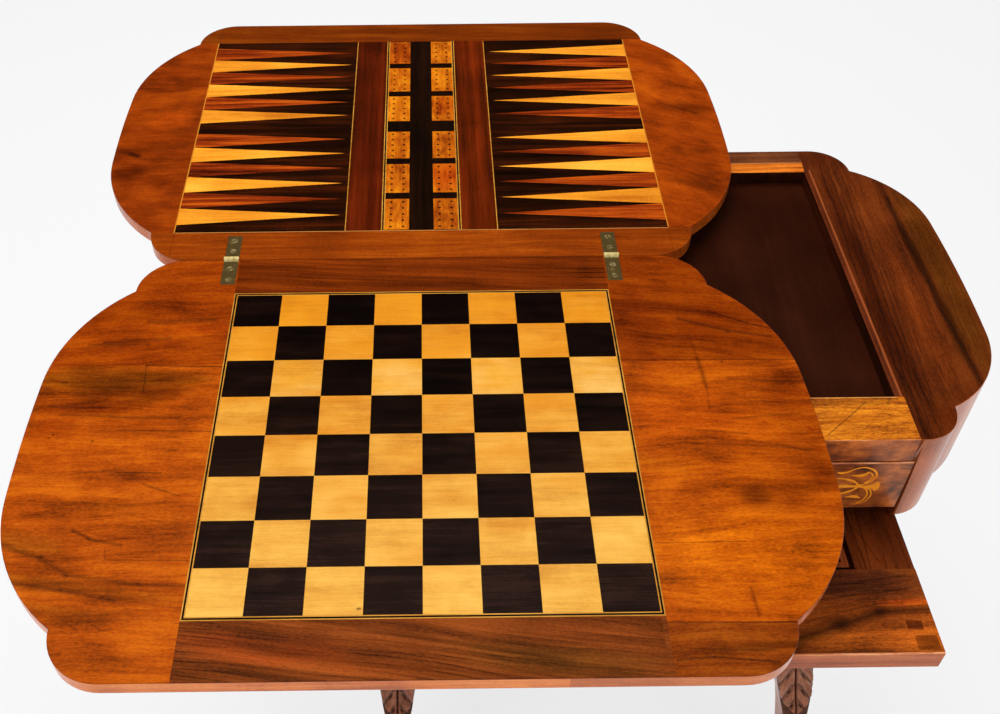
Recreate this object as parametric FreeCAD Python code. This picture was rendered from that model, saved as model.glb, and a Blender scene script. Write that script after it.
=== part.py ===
"""Games and work table: a folding, swivelling top over a case with a drawer and a sliding work well.

The origin is on the floor under the centre of the case. +Z is up, -Y is the drawer side, and all sizes
are millimetres. The top is drawn unfolded and swivelled half a turn from closed, with the chess leaf
towards the front, and the work slide is drawn part way out.
"""
import FreeCAD, Part
import math
import os

os.makedirs("parts", exist_ok=True)
Vec = FreeCAD.Vector

# ------------------------------------------------------------------------- driving sizes: the leaves
OPEN_HEIGHT = 725.0        # floor to the playing faces, top unfolded
LEAF_LENGTH = 702.0
LEAF_DEPTH = 474.0
LEAF_THICKNESS = 15.0
VENEER = 1.2               # face veneers and inlay
LEAF_STRAIGHT = 239.0      # half of the straight long edge
LEAF_LOBE = 46.0           # quarter round at each corner, up to the notch
END_FLAT = 66.0            # half of the gently bowed stretch at each end
END_BOW_RADIUS = 1600.0
LEAF_JOINT = 0.4           # gap between the two leaves when unfolded
LEAF_GAP = 0.3             # running gap between the leaves and the case

# ------------------------------------------------------------------------------- the playing boards
BOARD_MARGIN = 53.0        # edge of the leaf to the field of 64 squares
SQUARES = 8
BOARD_TRIM = 1.9           # taken off the outer squares for the stringing
STRING_LIGHT = 1.0
STRING_DARK = 1.6
POINT_PANEL_HALF_X = 260.0
POINT_PANEL_MARGIN = 44.5  # edge of the leaf to the backgammon panels
CENTRE_BAND = 26.2         # dark band down the middle of the backgammon side
PEG_BLOCK_WIDTH = 26.0
PEG_BLOCK_GAP = 11.0
PEG_MIDDLE_GAP = 22.0
PEG_END_GAP = 1.1
PEG_BLOCKS = 6
BAR_WIDTH = 37.3
POINTS = 12
POINT_MARGIN = 13.0
POINT_MIDDLE_GAP = 21.0
POINT_TIP_GAP = 6.0

# ------------------------------------------------------------------------------------ hinges, pivot
HINGE_FROM_BOARD = 9.0     # centre of a hinge from the edge of the chess board
HINGE_PLATE_WIDTH = 15.0
HINGE_PLATE_LENGTH = 38.0
HINGE_PLATE_THICKNESS = 2.0
KNUCKLE_RADIUS = 3.2
KNUCKLE_GAP = 0.3
HINGE_PIN_RADIUS = 1.3
HINGE_AXIS_RISE = 0.25     # hinge axis above the playing face, half of the gap between folded faces
RUNNING_FIT = 0.04         # radial clearance of pins and of the pivot stud
NOTCH_ROOM = 0.5           # room round the knuckles in the leaf edges
SCREW_HEAD_RADIUS = 3.4
SCREW_HEAD_DEPTH = 2.0
SCREW_SHANK_RADIUS = 1.6
SCREW_LENGTH = 11.0
PIVOT_X = -109.0
PIVOT_PLATE = 84.0
PIVOT_PLATE_THICKNESS = 3.0
PIVOT_STUD_RADIUS = 8.0
PIVOT_WASHER_RADIUS = 18.0
PIVOT_WASHER_THICKNESS = 2.0
PIVOT_NUT_RADIUS = 13.0    # across the corners, halved
PIVOT_NUT_HEIGHT = 7.0
PIVOT_STUD_END = 1.0       # stud showing below the nut

# ------------------------------------------------------------------------------------------ the case
OVERHANG = 17.5            # leaf beyond the case, all round, when closed
CASE_HEIGHT = 112.5
CASE_STRAIGHT = 230.0
CASE_LOBE = 39.0
CASE_END_FLAT = 85.0       # half of the gently bowed stretch at each end of the case
END_WALL_X = 218.5         # inner face of the shaped ends at the tray
FRONT_RAIL_DEPTH = 52.0
FRONT_RAIL_HEIGHT = 29.0
RAIL_HOUSING = 7.0         # how far the front rail is let into each end
LOWER_ROUND = 3.0          # rounded lower edge of the ends and the back
BACK_THICKNESS = 38.0
TRAY_DEPTH = 17.0
TRAY_FLOOR = 8.0
SWIVEL_RAIL_WIDTH = 90.0
DUST_BOARD = 14.0
DUST_BOARD_SETBACK = 18.0

# ---------------------------------------------------------------------------------------- the drawer
DRAWER_SIDE_GAP = 0.8
DRAWER_RUN_GAP = 0.3
DRAWER_FRONT_HEIGHT = 67.5
DRAWER_FRONT_THICKNESS = 16.0
DRAWER_PROUD = 0.8
DRAWER_EDGE_ROUND = 1.5
DRAWER_SIDE = 9.0
DRAWER_SIDE_HEIGHT = 54.0
DRAWER_BACK_HEIGHT = 40.0
DRAWER_BOTTOM = 5.0
DRAWER_BOTTOM_LIFT = 5.0
DRAWER_GROOVE = 4.0
DRAWER_STOP = 15.0
DRAWER_STOP_HEIGHT = 12.0
DRAWER_STOP_WIDTH = 40.0
DRAWER_STOP_X = 150.0
DOVETAIL_COUNT = 3
DOVETAIL_NARROW = 6.5
DOVETAIL_WIDE = 11.0
DOVETAIL_DEPTH = 11.0
LOCK_WIDTH = 46.0
LOCK_HEIGHT = 30.0
LOCK_DEPTH = 8.0
LOCK_DROP = 4.0            # top of the lock below the top of the drawer front
KEYHOLE_RADIUS = 2.6
KEYHOLE_SLOT = 2.2
KEYHOLE_DROP = 22.0
ESCUTCHEON_RADIUS = 7.0
ESCUTCHEON_LENGTH = 19.0
ESCUTCHEON_THICKNESS = 1.0

# ------------------------------------------------------------------------------------ the work slide
SLIDE_GAP = 0.5
SLIDE_HALF_X = 235.0
SLIDE_THICKNESS = 24.0
SLIDE_FRONT_BOARD = 87.0
SLIDE_RAIL_WIDTH = 55.0
SLIDE_BACK_RAIL = 40.0
SLIDE_LENGTH = 384.0
SLIDE_OUT = 147.0          # how far the slide stands out as drawn
SLIDE_FRONT_ROUND = 2.0
WELL_WALL = 6.0
WELL_CLEAT = 5.0
WELL_CLEAT_HEIGHT = 8.0
WELL_DEPTH = 112.0
WELL_BOTTOM = 6.0
WELL_BOTTOM_LIFT = 3.0
RUNNER_WEB = 26.0
RUNNER_LEDGE = 20.0
RUNNER_LEDGE_THICKNESS = 14.0
RUNNER_HALF_LENGTH = 165.0

# -------------------------------------------------------------------------------------- the supports
TRESTLE_X = 257.5
BEARER_WIDTH = 56.0
BEARER_THICKNESS = 25.0
BEARER_HALF_LENGTH = 150.0
BEARER_END_RADIUS = 20.0
BLOCK_WIDTH = 60.0
BLOCK_HALF_LENGTH = 88.0
BLOCK_BOTTOM = 148.0
BLOCK_HEIGHT = 56.0
BLOCK_CHAMFER = 5.0
PILLAR_Y = 52.0
PILLAR_RADIUS = 23.0
COLLAR = 4.0               # how far the turned rings stand out
STRETCHER_RADIUS = 19.0
LEG_WIDTH = 47.0
LEG_TENON = 24.0           # how far a leg runs into its block
LEG_SHOULDER = 6.0         # top of the leg below the top of the block
LEG_ANKLE_WIDTH = 26.0
LEG_REACH = 238.0          # scroll centre from the trestle's middle
SCROLL_RADIUS = 18.0
SCROLL_LIFT = 16.0         # scroll centre above the floor, so the foot has a flat under it
BEARER_SCREW_RADIUS = 3.0
BEARER_SCREW_HEAD = 6.0
BEARER_SCREW_HEAD_DEPTH = 4.0
BEARER_SCREW_LENGTH = 85.0
BEARER_SCREW_Y = 110.0
SCREW_FIT = 0.02

# ------------------------------------------------------------------------------- what follows from them
square = (LEAF_DEPTH - 2 * BOARD_MARGIN) / SQUARES
board_half = SQUARES * square / 2 - BOARD_TRIM
string_width = 2 * STRING_LIGHT + STRING_DARK
frame_half = board_half + string_width
hinge_x = frame_half + HINGE_FROM_BOARD
panel_half_y = LEAF_DEPTH / 2 - POINT_PANEL_MARGIN
peg_gaps = (PEG_BLOCKS - 2) * PEG_BLOCK_GAP + PEG_MIDDLE_GAP
peg_block_length = 2 * (panel_half_y - PEG_END_GAP) / PEG_BLOCKS - peg_gaps / PEG_BLOCKS
pivot_y = LEAF_DEPTH / 2 + PIVOT_X      # so that the open top is centred once it is turned a quarter
leaf_bottom = OPEN_HEIGHT - LEAF_THICKNESS
veneer_bottom = OPEN_HEIGHT - VENEER
points_leaf = Vec(2 * PIVOT_X, 2 * pivot_y, 0)
chess_leaf = points_leaf - Vec(0, LEAF_DEPTH + LEAF_JOINT, 0)
hinge_y = (points_leaf.y + chess_leaf.y) / 2
hinge_z = OPEN_HEIGHT + HINGE_AXIS_RISE

case_top = leaf_bottom - LEAF_GAP
case_bottom = case_top - CASE_HEIGHT
case_length = LEAF_LENGTH - 2 * OVERHANG
case_depth = LEAF_DEPTH - 2 * OVERHANG
case_front = -case_depth / 2
case_back = case_depth / 2
tray_front = case_front + FRONT_RAIL_DEPTH
tray_back = case_back - BACK_THICKNESS
tray_bottom = case_top - TRAY_DEPTH
floor_bottom = tray_bottom - TRAY_FLOOR
rail_bottom = case_top - FRONT_RAIL_HEIGHT
dust_top = case_bottom + DUST_BOARD

drawer_half = CASE_STRAIGHT - DRAWER_SIDE_GAP
drawer_bottom = dust_top + DRAWER_RUN_GAP
drawer_top = drawer_bottom + DRAWER_FRONT_HEIGHT
drawer_front_back = case_front - DRAWER_PROUD + DRAWER_FRONT_THICKNESS
drawer_end = tray_back - DRAWER_STOP - DRAWER_RUN_GAP

slide_top = case_bottom - SLIDE_GAP
slide_bottom = slide_top - SLIDE_THICKNESS
slide_front = case_front - SLIDE_OUT
slide_back = slide_front + SLIDE_LENGTH
well_front = slide_front + SLIDE_FRONT_BOARD
well_back = slide_back - SLIDE_BACK_RAIL
well_half = SLIDE_HALF_X - SLIDE_RAIL_WIDTH
ledge_top = slide_bottom - SLIDE_GAP
runner_bottom = ledge_top - RUNNER_LEDGE_THICKNESS
bearer_bottom = runner_bottom - BEARER_THICKNESS
block_top = BLOCK_BOTTOM + BLOCK_HEIGHT


# --------------------------------------------------------------------------------------- small helpers
def block(x0, x1, y0, y1, z0, z1):
    """A rectangular solid between two corners."""
    return Part.makeBox(x1 - x0, y1 - y0, z1 - z0, Vec(x0, y0, z0))


def cut(shape, *tools):
    """The shape less each tool, as plain solids in a compound."""
    for tool in tools:
        shape = shape.cut(tool)
    return shape


def mirrored(shape):
    """The shape reflected to the other end of the table."""
    return shape.mirror(Vec(0, 0, 0), Vec(1, 0, 0))


def front_to_back(shape):
    """The shape reflected from the front of the table to the back."""
    return shape.mirror(Vec(0, 0, 0), Vec(0, 1, 0))


def prism(points, low, high):
    """A straight-sided solid on a flat outline of (x, y) points."""
    corners = [Vec(x, y, low) for x, y in points]
    return Part.Face(Part.makePolygon(corners + corners[:1])).extrude(Vec(0, 0, high - low))


def save(node, *shapes):
    """Writes one node; several shapes in it stay separate solids."""
    solids = [solid for shape in shapes for solid in shape.Solids]
    whole = solids[0] if len(solids) == 1 else Part.makeCompound(solids)
    whole.exportStep("parts/" + node + ".step")


def turned(profile, base, direction):
    """A turning: rings of (distance along the axis, radius, swell of the stretch that leads there)."""
    edges = [Part.makeLine(Vec(0, 0, profile[0][0]), Vec(profile[0][1], 0, profile[0][0]))]
    for (z0, r0, _), (z1, r1, swell) in zip(profile, profile[1:]):
        start, end = Vec(r0, 0, z0), Vec(r1, 0, z1)
        if swell:
            middle = Vec((r0 + r1) / 2 + swell, 0, (z0 + z1) / 2)
            edges.append(Part.Arc(start, middle, end).toShape())
        else:
            edges.append(Part.makeLine(start, end))
    edges.append(Part.makeLine(Vec(profile[-1][1], 0, profile[-1][0]), Vec(0, 0, profile[-1][0])))
    edges.append(Part.makeLine(Vec(0, 0, profile[-1][0]), Vec(0, 0, profile[0][0])))
    solid = Part.Face(Part.Wire(edges)).revolve(Vec(0, 0, 0), Vec(0, 0, 1), 360)
    solid.Placement = FreeCAD.Placement(base, FreeCAD.Rotation(Vec(0, 0, 1), direction))
    return solid


def collar(start, radius):
    """The points of one chamfered ring on a turning."""
    out = radius + COLLAR
    return [(start, radius, 0), (start + COLLAR, out, 0), (start + 2 * COLLAR, out, 0),
            (start + 3 * COLLAR, radius, 0)]


def shaped_board(length, depth, straight, lobe, flat, low, high):
    """The plan of the leaves and the case: lobed corners, a notch, round shoulders and bowed ends."""
    half_l, half_d = length / 2, depth / 2
    notch_x, notch_y = straight + lobe, half_d - lobe
    bow_x = half_l - END_BOW_RADIUS
    turn = math.asin(flat / END_BOW_RADIUS)
    away_x, away_y = math.cos(turn), math.sin(turn)
    span_x, span_y = notch_x - bow_x, notch_y
    along = span_x * away_x + span_y * away_y
    shoulder = (span_x**2 + span_y**2 - 2 * END_BOW_RADIUS * along + END_BOW_RADIUS**2) / (
        2 * (END_BOW_RADIUS - along))
    centre_x = bow_x + (END_BOW_RADIUS - shoulder) * away_x
    centre_y = (END_BOW_RADIUS - shoulder) * away_y
    middle = (math.atan2(notch_y - centre_y, notch_x - centre_x) + turn) / 2
    tangent = (bow_x + END_BOW_RADIUS * away_x, END_BOW_RADIUS * away_y)
    diagonal = lobe * math.sqrt(0.5)
    quarter = [(straight, half_d), (straight + diagonal, notch_y + diagonal), (notch_x, notch_y),
               (centre_x + shoulder * math.cos(middle), centre_y + shoulder * math.sin(middle)), tangent]
    edges = []
    for sx in (1, -1):
        for sy in (1, -1):
            points = [Vec(sx * x, sy * y, low) for x, y in quarter]
            edges.append(Part.Arc(points[0], points[1], points[2]).toShape())
            edges.append(Part.Arc(points[2], points[3], points[4]).toShape())
        edges.append(Part.Arc(Vec(sx * tangent[0], tangent[1], low), Vec(sx * half_l, 0, low),
                              Vec(sx * tangent[0], -tangent[1], low)).toShape())
    for sy in (1, -1):
        edges.append(Part.makeLine(Vec(-straight, sy * half_d, low), Vec(straight, sy * half_d, low)))
    outline = Part.Wire(Part.__sortEdges__(edges))
    return Part.Face(outline).extrude(Vec(0, 0, high - low))


def leaf_board(low, high):
    """A layer of a leaf, centred on the origin."""
    return shaped_board(LEAF_LENGTH, LEAF_DEPTH, LEAF_STRAIGHT, LEAF_LOBE, END_FLAT, low, high)


def wood_screw(x, y, z, down=True, grow=0.0):
    """A countersunk screw with its head at z; grow makes the hole for it."""
    head, shank = SCREW_HEAD_RADIUS + grow, SCREW_SHANK_RADIUS + grow
    profile = [(0, head, 0), (SCREW_HEAD_DEPTH, shank, 0), (SCREW_LENGTH - 2, shank, 0),
               (SCREW_LENGTH + grow, shank / 4, 0)]
    return turned(profile, Vec(x, y, z), Vec(0, 0, -1 if down else 1))


# -------------------------------------------------------------------------------------------- hinges
def hinge_plate(x, side):
    """One plate of a hinge with its knuckles; side -1 is the chess leaf, 1 the backgammon leaf."""
    half = HINGE_PLATE_WIDTH / 2
    clear = KNUCKLE_RADIUS + KNUCKLE_GAP
    low, high = OPEN_HEIGHT - HINGE_PLATE_THICKNESS, OPEN_HEIGHT
    knuckle = (HINGE_PLATE_WIDTH - 2 * KNUCKLE_GAP) / 3
    first = -half + (knuckle + KNUCKLE_GAP if side < 0 else 0)
    starts = [first] if side < 0 else [first, first + 2 * (knuckle + KNUCKLE_GAP)]
    near, far = sorted((hinge_y + side * clear, hinge_y + side * HINGE_PLATE_LENGTH))
    plate = block(x - half, x + half, near, far, low, high)
    for start in starts:
        a, b = sorted((hinge_y, hinge_y + side * (clear + 1)))
        barrel = Part.makeCylinder(KNUCKLE_RADIUS, knuckle, Vec(x + start, hinge_y, hinge_z), Vec(1, 0, 0))
        plate = plate.fuse([barrel, block(x + start, x + start + knuckle, a, b, low, high)])
    bore = HINGE_PIN_RADIUS + RUNNING_FIT
    plate = plate.cut(Part.makeCylinder(bore, 2 * HINGE_PLATE_WIDTH,
                                        Vec(x - HINGE_PLATE_WIDTH, hinge_y, hinge_z), Vec(1, 0, 0)))
    for y in plate_screws(side):
        plate = plate.cut(wood_screw(x, y, OPEN_HEIGHT, grow=SCREW_FIT))
    return plate.removeSplitter()


def plate_screws(side):
    """Where the two screws of a plate sit along it."""
    return [hinge_y + side * HINGE_PLATE_LENGTH * share for share in (0.36, 0.80)]


def hinge_pockets():
    """What the hinges take out of the leaves: plate recesses and knuckle notches."""
    half = HINGE_PLATE_WIDTH / 2
    room = KNUCKLE_RADIUS + NOTCH_ROOM
    tools = []
    for x in (-hinge_x, hinge_x):
        tools.append(block(x - half, x + half, hinge_y - HINGE_PLATE_LENGTH, hinge_y + HINGE_PLATE_LENGTH,
                           OPEN_HEIGHT - HINGE_PLATE_THICKNESS, hinge_z + room))
        tools.append(block(x - half, x + half, hinge_y - room, hinge_y + room,
                           hinge_z - room, hinge_z + room))
        for side in (-1, 1):
            tools += [wood_screw(x, y, OPEN_HEIGHT, grow=SCREW_FIT) for y in plate_screws(side)]
    return [tool.translated(Vec(points_leaf.x, 0, 0)) for tool in tools]


pockets = hinge_pockets()


def inlaid(shape, leaf):
    """A layer of a leaf put in its place, with the hinges let into it."""
    moved = shape.translated(leaf)
    near = [tool for tool in pockets if tool.BoundBox.intersect(moved.BoundBox)]
    return cut(moved, *near)


def make_hinges():
    """Two brass hinges: plates, pins and countersunk screws."""
    places = [points_leaf.x - hinge_x, points_leaf.x + hinge_x]
    save("hinge_plates_flap", *[hinge_plate(x, -1) for x in places])
    save("hinge_plates_top", *[hinge_plate(x, 1) for x in places])
    save("hinge_pins", *[Part.makeCylinder(HINGE_PIN_RADIUS, HINGE_PLATE_WIDTH,
                                           Vec(x - HINGE_PLATE_WIDTH / 2, hinge_y, hinge_z), Vec(1, 0, 0))
                         for x in places])
    flap, top = [[wood_screw(x, y, OPEN_HEIGHT) for x in places for y in plate_screws(side)]
                 for side in (-1, 1)]
    save("hinge_screws_flap", *flap)
    save("screws_top", *top, *pivot_screws())


# ---------------------------------------------------------------------------------------- chess leaf
def square_ring(inner, width):
    """A flat square frame in the face veneer."""
    outer = inner + width
    return cut(block(-outer, outer, -outer, outer, veneer_bottom, OPEN_HEIGHT),
               block(-inner, inner, -inner, inner, veneer_bottom, OPEN_HEIGHT))


def face_veneers(half_x, half_y):
    """End panels and long margin strips round a rectangular field."""
    face = leaf_board(veneer_bottom, OPEN_HEIGHT)
    across = LEAF_LENGTH
    ends = cut(face, block(-half_x, half_x, -across, across, veneer_bottom, OPEN_HEIGHT))
    strips = cut(face.common(block(-half_x, half_x, -across, across, veneer_bottom, OPEN_HEIGHT)),
                 block(-half_x, half_x, -half_y, half_y, veneer_bottom, OPEN_HEIGHT))
    return ends, strips


def make_chess_leaf():
    """The folding leaf: core, margins, 64 squares, stringing, and the face that shows when closed."""
    save("chess_leaf", inlaid(leaf_board(leaf_bottom + VENEER, veneer_bottom), chess_leaf))
    save("closed_top_veneer", leaf_board(leaf_bottom, leaf_bottom + VENEER).translated(chess_leaf))
    ends, strips = face_veneers(frame_half, frame_half)
    save("chess_end_panels", inlaid(ends, chess_leaf))
    save("chess_margin_strips", inlaid(strips, chess_leaf))
    lines = [max(-board_half, min(board_half, (i - SQUARES / 2) * square)) for i in range(SQUARES + 1)]
    squares = {0: [], 1: []}
    for i in range(SQUARES):
        for j in range(SQUARES):
            tile = block(lines[i], lines[i + 1], lines[j], lines[j + 1], veneer_bottom, OPEN_HEIGHT)
            squares[(i + j) % 2].append(tile.translated(chess_leaf))
    save("light_squares", *squares[0])
    save("dark_squares", *squares[1])
    inner = square_ring(board_half, STRING_LIGHT)
    outer = square_ring(board_half + STRING_LIGHT + STRING_DARK, STRING_LIGHT)
    save("chess_string_light", inlaid(inner, chess_leaf), inlaid(outer, chess_leaf))
    save("chess_string_dark", inlaid(square_ring(board_half + STRING_LIGHT, STRING_DARK), chess_leaf))


# ----------------------------------------------------------------------------------- backgammon leaf
def both_sides(x0, x1, y0=-panel_half_y, y1=panel_half_y):
    """A strip of inlay and its mirror image on the other side of the centre."""
    strip = block(x0, x1, y0, y1, veneer_bottom, OPEN_HEIGHT)
    return [strip, mirrored(strip)]


def peg_starts():
    """Near edge of each peg block along the board."""
    length = PEG_BLOCKS * peg_block_length + peg_gaps
    y, starts = -length / 2, []
    for i in range(PEG_BLOCKS):
        starts.append(y)
        y += peg_block_length + (PEG_MIDDLE_GAP if i == PEG_BLOCKS // 2 - 1 else PEG_BLOCK_GAP)
    return starts


def make_backgammon_leaf():
    """The pivoted leaf: core, margins, points, bars and peg blocks."""
    core = inlaid(leaf_board(leaf_bottom, veneer_bottom), points_leaf)
    half = PIVOT_PLATE / 2
    recess = block(PIVOT_X - half, PIVOT_X + half, pivot_y - half, pivot_y + half,
                   leaf_bottom, leaf_bottom + PIVOT_PLATE_THICKNESS)
    save("backgammon_leaf", cut(core, recess, *pivot_screws(SCREW_FIT)))
    ends, strips = face_veneers(POINT_PANEL_HALF_X, panel_half_y)
    save("points_end_panels", inlaid(ends, points_leaf))
    save("points_margin_strips", inlaid(strips, points_leaf))

    pegs_from = CENTRE_BAND / 2
    pegs_to = pegs_from + PEG_BLOCK_WIDTH
    bar_from = pegs_to + string_width
    bar_to = bar_from + BAR_WIDTH
    field_from = bar_to + STRING_LIGHT
    here = lambda shapes: [inlaid(shape, points_leaf) for shape in shapes]

    centre = block(-pegs_from, pegs_from, -panel_half_y, panel_half_y, veneer_bottom, OPEN_HEIGHT)
    blocks = [piece for y in peg_starts()
              for piece in both_sides(pegs_from, pegs_to, y, y + peg_block_length)]
    save("peg_blocks", *here(blocks))
    edges = [-panel_half_y] + [y + peg_block_length for y in peg_starts()]
    ends = peg_starts() + [panel_half_y]
    between = [piece for a, b in zip(edges, ends) for piece in both_sides(pegs_from, pegs_to, a, b)]
    save("dark_bands", *here([centre] + between))
    save("points_string_light", *here(both_sides(pegs_to, pegs_to + STRING_LIGHT)
                                      + both_sides(bar_from - STRING_LIGHT, bar_from)
                                      + both_sides(bar_to, field_from)))
    save("points_string_dark", *here(both_sides(pegs_to + STRING_LIGHT, bar_from - STRING_LIGHT)))
    save("bar_panels", *here(both_sides(bar_from, bar_to)))

    pitch = (2 * panel_half_y - 2 * POINT_MARGIN - POINT_MIDDLE_GAP) / POINTS
    colours = {0: [], 1: []}
    for side in (1, -1):
        for i in range(POINTS):
            y = panel_half_y - POINT_MARGIN - i * pitch
            y -= POINT_MIDDLE_GAP if i >= POINTS // 2 else 0
            foot, tip = side * POINT_PANEL_HALF_X, side * (field_from + POINT_TIP_GAP)
            point = prism([(foot, y), (tip, y - pitch / 2), (foot, y - pitch)], veneer_bottom, OPEN_HEIGHT)
            colours[(i + (side < 0)) % 2].append(point)
    save("points_light", *here(colours[0]))
    save("points_red", *here(colours[1]))
    fields = [cut(field, *colours[0], *colours[1]) for field in both_sides(field_from, POINT_PANEL_HALF_X)]
    save("points_ground", *here(fields))


# ----------------------------------------------------------------------------------- pivot and fixings
def pivot_screws(grow=0.0):
    """Four screws that hold the pivot plate up into the leaf."""
    reach = PIVOT_PLATE / 2 - 3 * SCREW_HEAD_RADIUS
    return [wood_screw(PIVOT_X + sx * reach, pivot_y + sy * reach, leaf_bottom, down=False, grow=grow)
            for sx in (-1, 1) for sy in (-1, 1)]


def make_pivot():
    """The swivel: a plate under the leaf with a stud through the swivel rail, washer and nut below."""
    half = PIVOT_PLATE / 2
    washer_top = floor_bottom - LEAF_GAP
    nut_top = washer_top - PIVOT_WASHER_THICKNESS
    stud_end = nut_top - PIVOT_NUT_HEIGHT - PIVOT_STUD_END
    plate = block(PIVOT_X - half, PIVOT_X + half, pivot_y - half, pivot_y + half,
                  leaf_bottom, leaf_bottom + PIVOT_PLATE_THICKNESS)
    save("pivot_plate", cut(plate, *pivot_screws(SCREW_FIT)))
    stud = Part.makeCylinder(PIVOT_STUD_RADIUS, leaf_bottom - stud_end, Vec(PIVOT_X, pivot_y, stud_end))
    save("pivot_stud", stud)
    bore = Part.makeCylinder(PIVOT_STUD_RADIUS + RUNNING_FIT, CASE_HEIGHT, Vec(PIVOT_X, pivot_y, stud_end))
    washer = Part.makeCylinder(PIVOT_WASHER_RADIUS, PIVOT_WASHER_THICKNESS, Vec(PIVOT_X, pivot_y, nut_top))
    save("pivot_washer", washer.cut(bore))
    corners = [(PIVOT_X + PIVOT_NUT_RADIUS * math.cos(math.radians(60 * i)),
                pivot_y + PIVOT_NUT_RADIUS * math.sin(math.radians(60 * i))) for i in range(6)]
    save("pivot_nut", prism(corners, nut_top - PIVOT_NUT_HEIGHT, nut_top).cut(bore))


# -------------------------------------------------------------------------------------------- the case
def rounded_below(shape):
    """The shape with its lower edge rounded wherever that edge lies on the outline of the case."""
    rim = []
    for edge in shape.Edges:
        box = edge.BoundBox
        curved = isinstance(edge.Curve, Part.Circle) and edge.Curve.Radius >= CASE_LOBE - 0.1
        on_outline = curved or box.YMin > case_back - 0.01
        if box.ZMax < case_bottom + 0.01 and on_outline:
            rim.append(edge)
    return shape.Solids[0].makeFillet(LOWER_ROUND, rim)


def make_case():
    """Shaped ends, rails, back, the tray for the men, the swivel rail and the board under the drawer."""
    whole = shaped_board(case_length, case_depth, CASE_STRAIGHT, CASE_LOBE, CASE_END_FLAT,
                         case_bottom, case_top)
    rail_end = END_WALL_X + RAIL_HOUSING
    rail = block(-rail_end, rail_end, case_front, tray_front, rail_bottom, case_top)
    end = cut(whole, rail, block(-case_length, END_WALL_X, case_front, case_back, case_bottom, case_top),
              block(END_WALL_X, CASE_STRAIGHT, case_front, tray_back, case_bottom, rail_bottom),
              *bearer_screws(SCREW_FIT))
    end = rounded_below(end)
    save("case_end_right", end)
    save("case_end_left", mirrored(end))
    save("case_front_rail", rail)
    back = block(-END_WALL_X, END_WALL_X, tray_back, case_back, case_bottom, case_top)
    save("case_back", rounded_below(back))
    bore = Part.makeCylinder(PIVOT_STUD_RADIUS + RUNNING_FIT, CASE_HEIGHT,
                             Vec(PIVOT_X, pivot_y, case_bottom + DUST_BOARD))
    floor = block(-END_WALL_X, END_WALL_X, tray_front, tray_back, floor_bottom, tray_bottom)
    save("tray_floor", floor.cut(bore))
    half = SWIVEL_RAIL_WIDTH / 2
    across = block(PIVOT_X - half, PIVOT_X + half, tray_front, tray_back, tray_bottom, case_top)
    save("swivel_rail", across.cut(bore))
    save("dust_board", block(-CASE_STRAIGHT, CASE_STRAIGHT, case_front + DUST_BOARD_SETBACK, tray_back,
                             case_bottom, dust_top))
    stop = block(DRAWER_STOP_X - DRAWER_STOP_WIDTH / 2, DRAWER_STOP_X + DRAWER_STOP_WIDTH / 2,
                 tray_back - DRAWER_STOP, tray_back, dust_top, dust_top + DRAWER_STOP_HEIGHT)
    save("drawer_stops", stop, mirrored(stop))


# ------------------------------------------------------------------------------------------ the drawer
def dovetail_tools():
    """The tails of one drawer side as they enter the back of the drawer front."""
    low = drawer_bottom + DRAWER_BOTTOM_LIFT + DRAWER_BOTTOM
    high = drawer_bottom + DRAWER_SIDE_HEIGHT
    pitch = (high - low) / DOVETAIL_COUNT
    tails = []
    for i in range(DOVETAIL_COUNT):
        middle = low + pitch * (i + 0.5)
        root = drawer_front_back
        tip = root - DOVETAIL_DEPTH
        corners = [(root, middle - DOVETAIL_NARROW / 2), (tip, middle - DOVETAIL_WIDE / 2),
                   (tip, middle + DOVETAIL_WIDE / 2), (root, middle + DOVETAIL_NARROW / 2)]
        face = Part.Face(Part.makePolygon([Vec(drawer_half - DRAWER_SIDE, y, z)
                                           for y, z in corners + corners[:1]]))
        tails.append(face.extrude(Vec(DRAWER_SIDE, 0, 0)))
    return tails


def keyhole(depth_from, depth_to):
    """The keyhole as a solid along Y: a round eye with a slot below it."""
    eye_z = drawer_top - KEYHOLE_DROP
    eye = Part.makeCylinder(KEYHOLE_RADIUS, depth_to - depth_from, Vec(0, depth_from, eye_z), Vec(0, 1, 0))
    slot = block(-KEYHOLE_SLOT / 2, KEYHOLE_SLOT / 2, depth_from, depth_to, eye_z - 3 * KEYHOLE_RADIUS, eye_z)
    return eye.fuse(slot)


def escutcheon_blank(depth_from, depth_to):
    """The outline of the keyhole plate: a round-ended slip."""
    eye_z = drawer_top - KEYHOLE_DROP
    low = eye_z - (ESCUTCHEON_LENGTH - 2 * ESCUTCHEON_RADIUS) - ESCUTCHEON_RADIUS / 2
    ends = [Part.makeCylinder(ESCUTCHEON_RADIUS, depth_to - depth_from, Vec(0, depth_from, z), Vec(0, 1, 0))
            for z in (eye_z, low)]
    web = block(-ESCUTCHEON_RADIUS, ESCUTCHEON_RADIUS, depth_from, depth_to, low, eye_z)
    return web.fuse(ends).removeSplitter()


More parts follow.
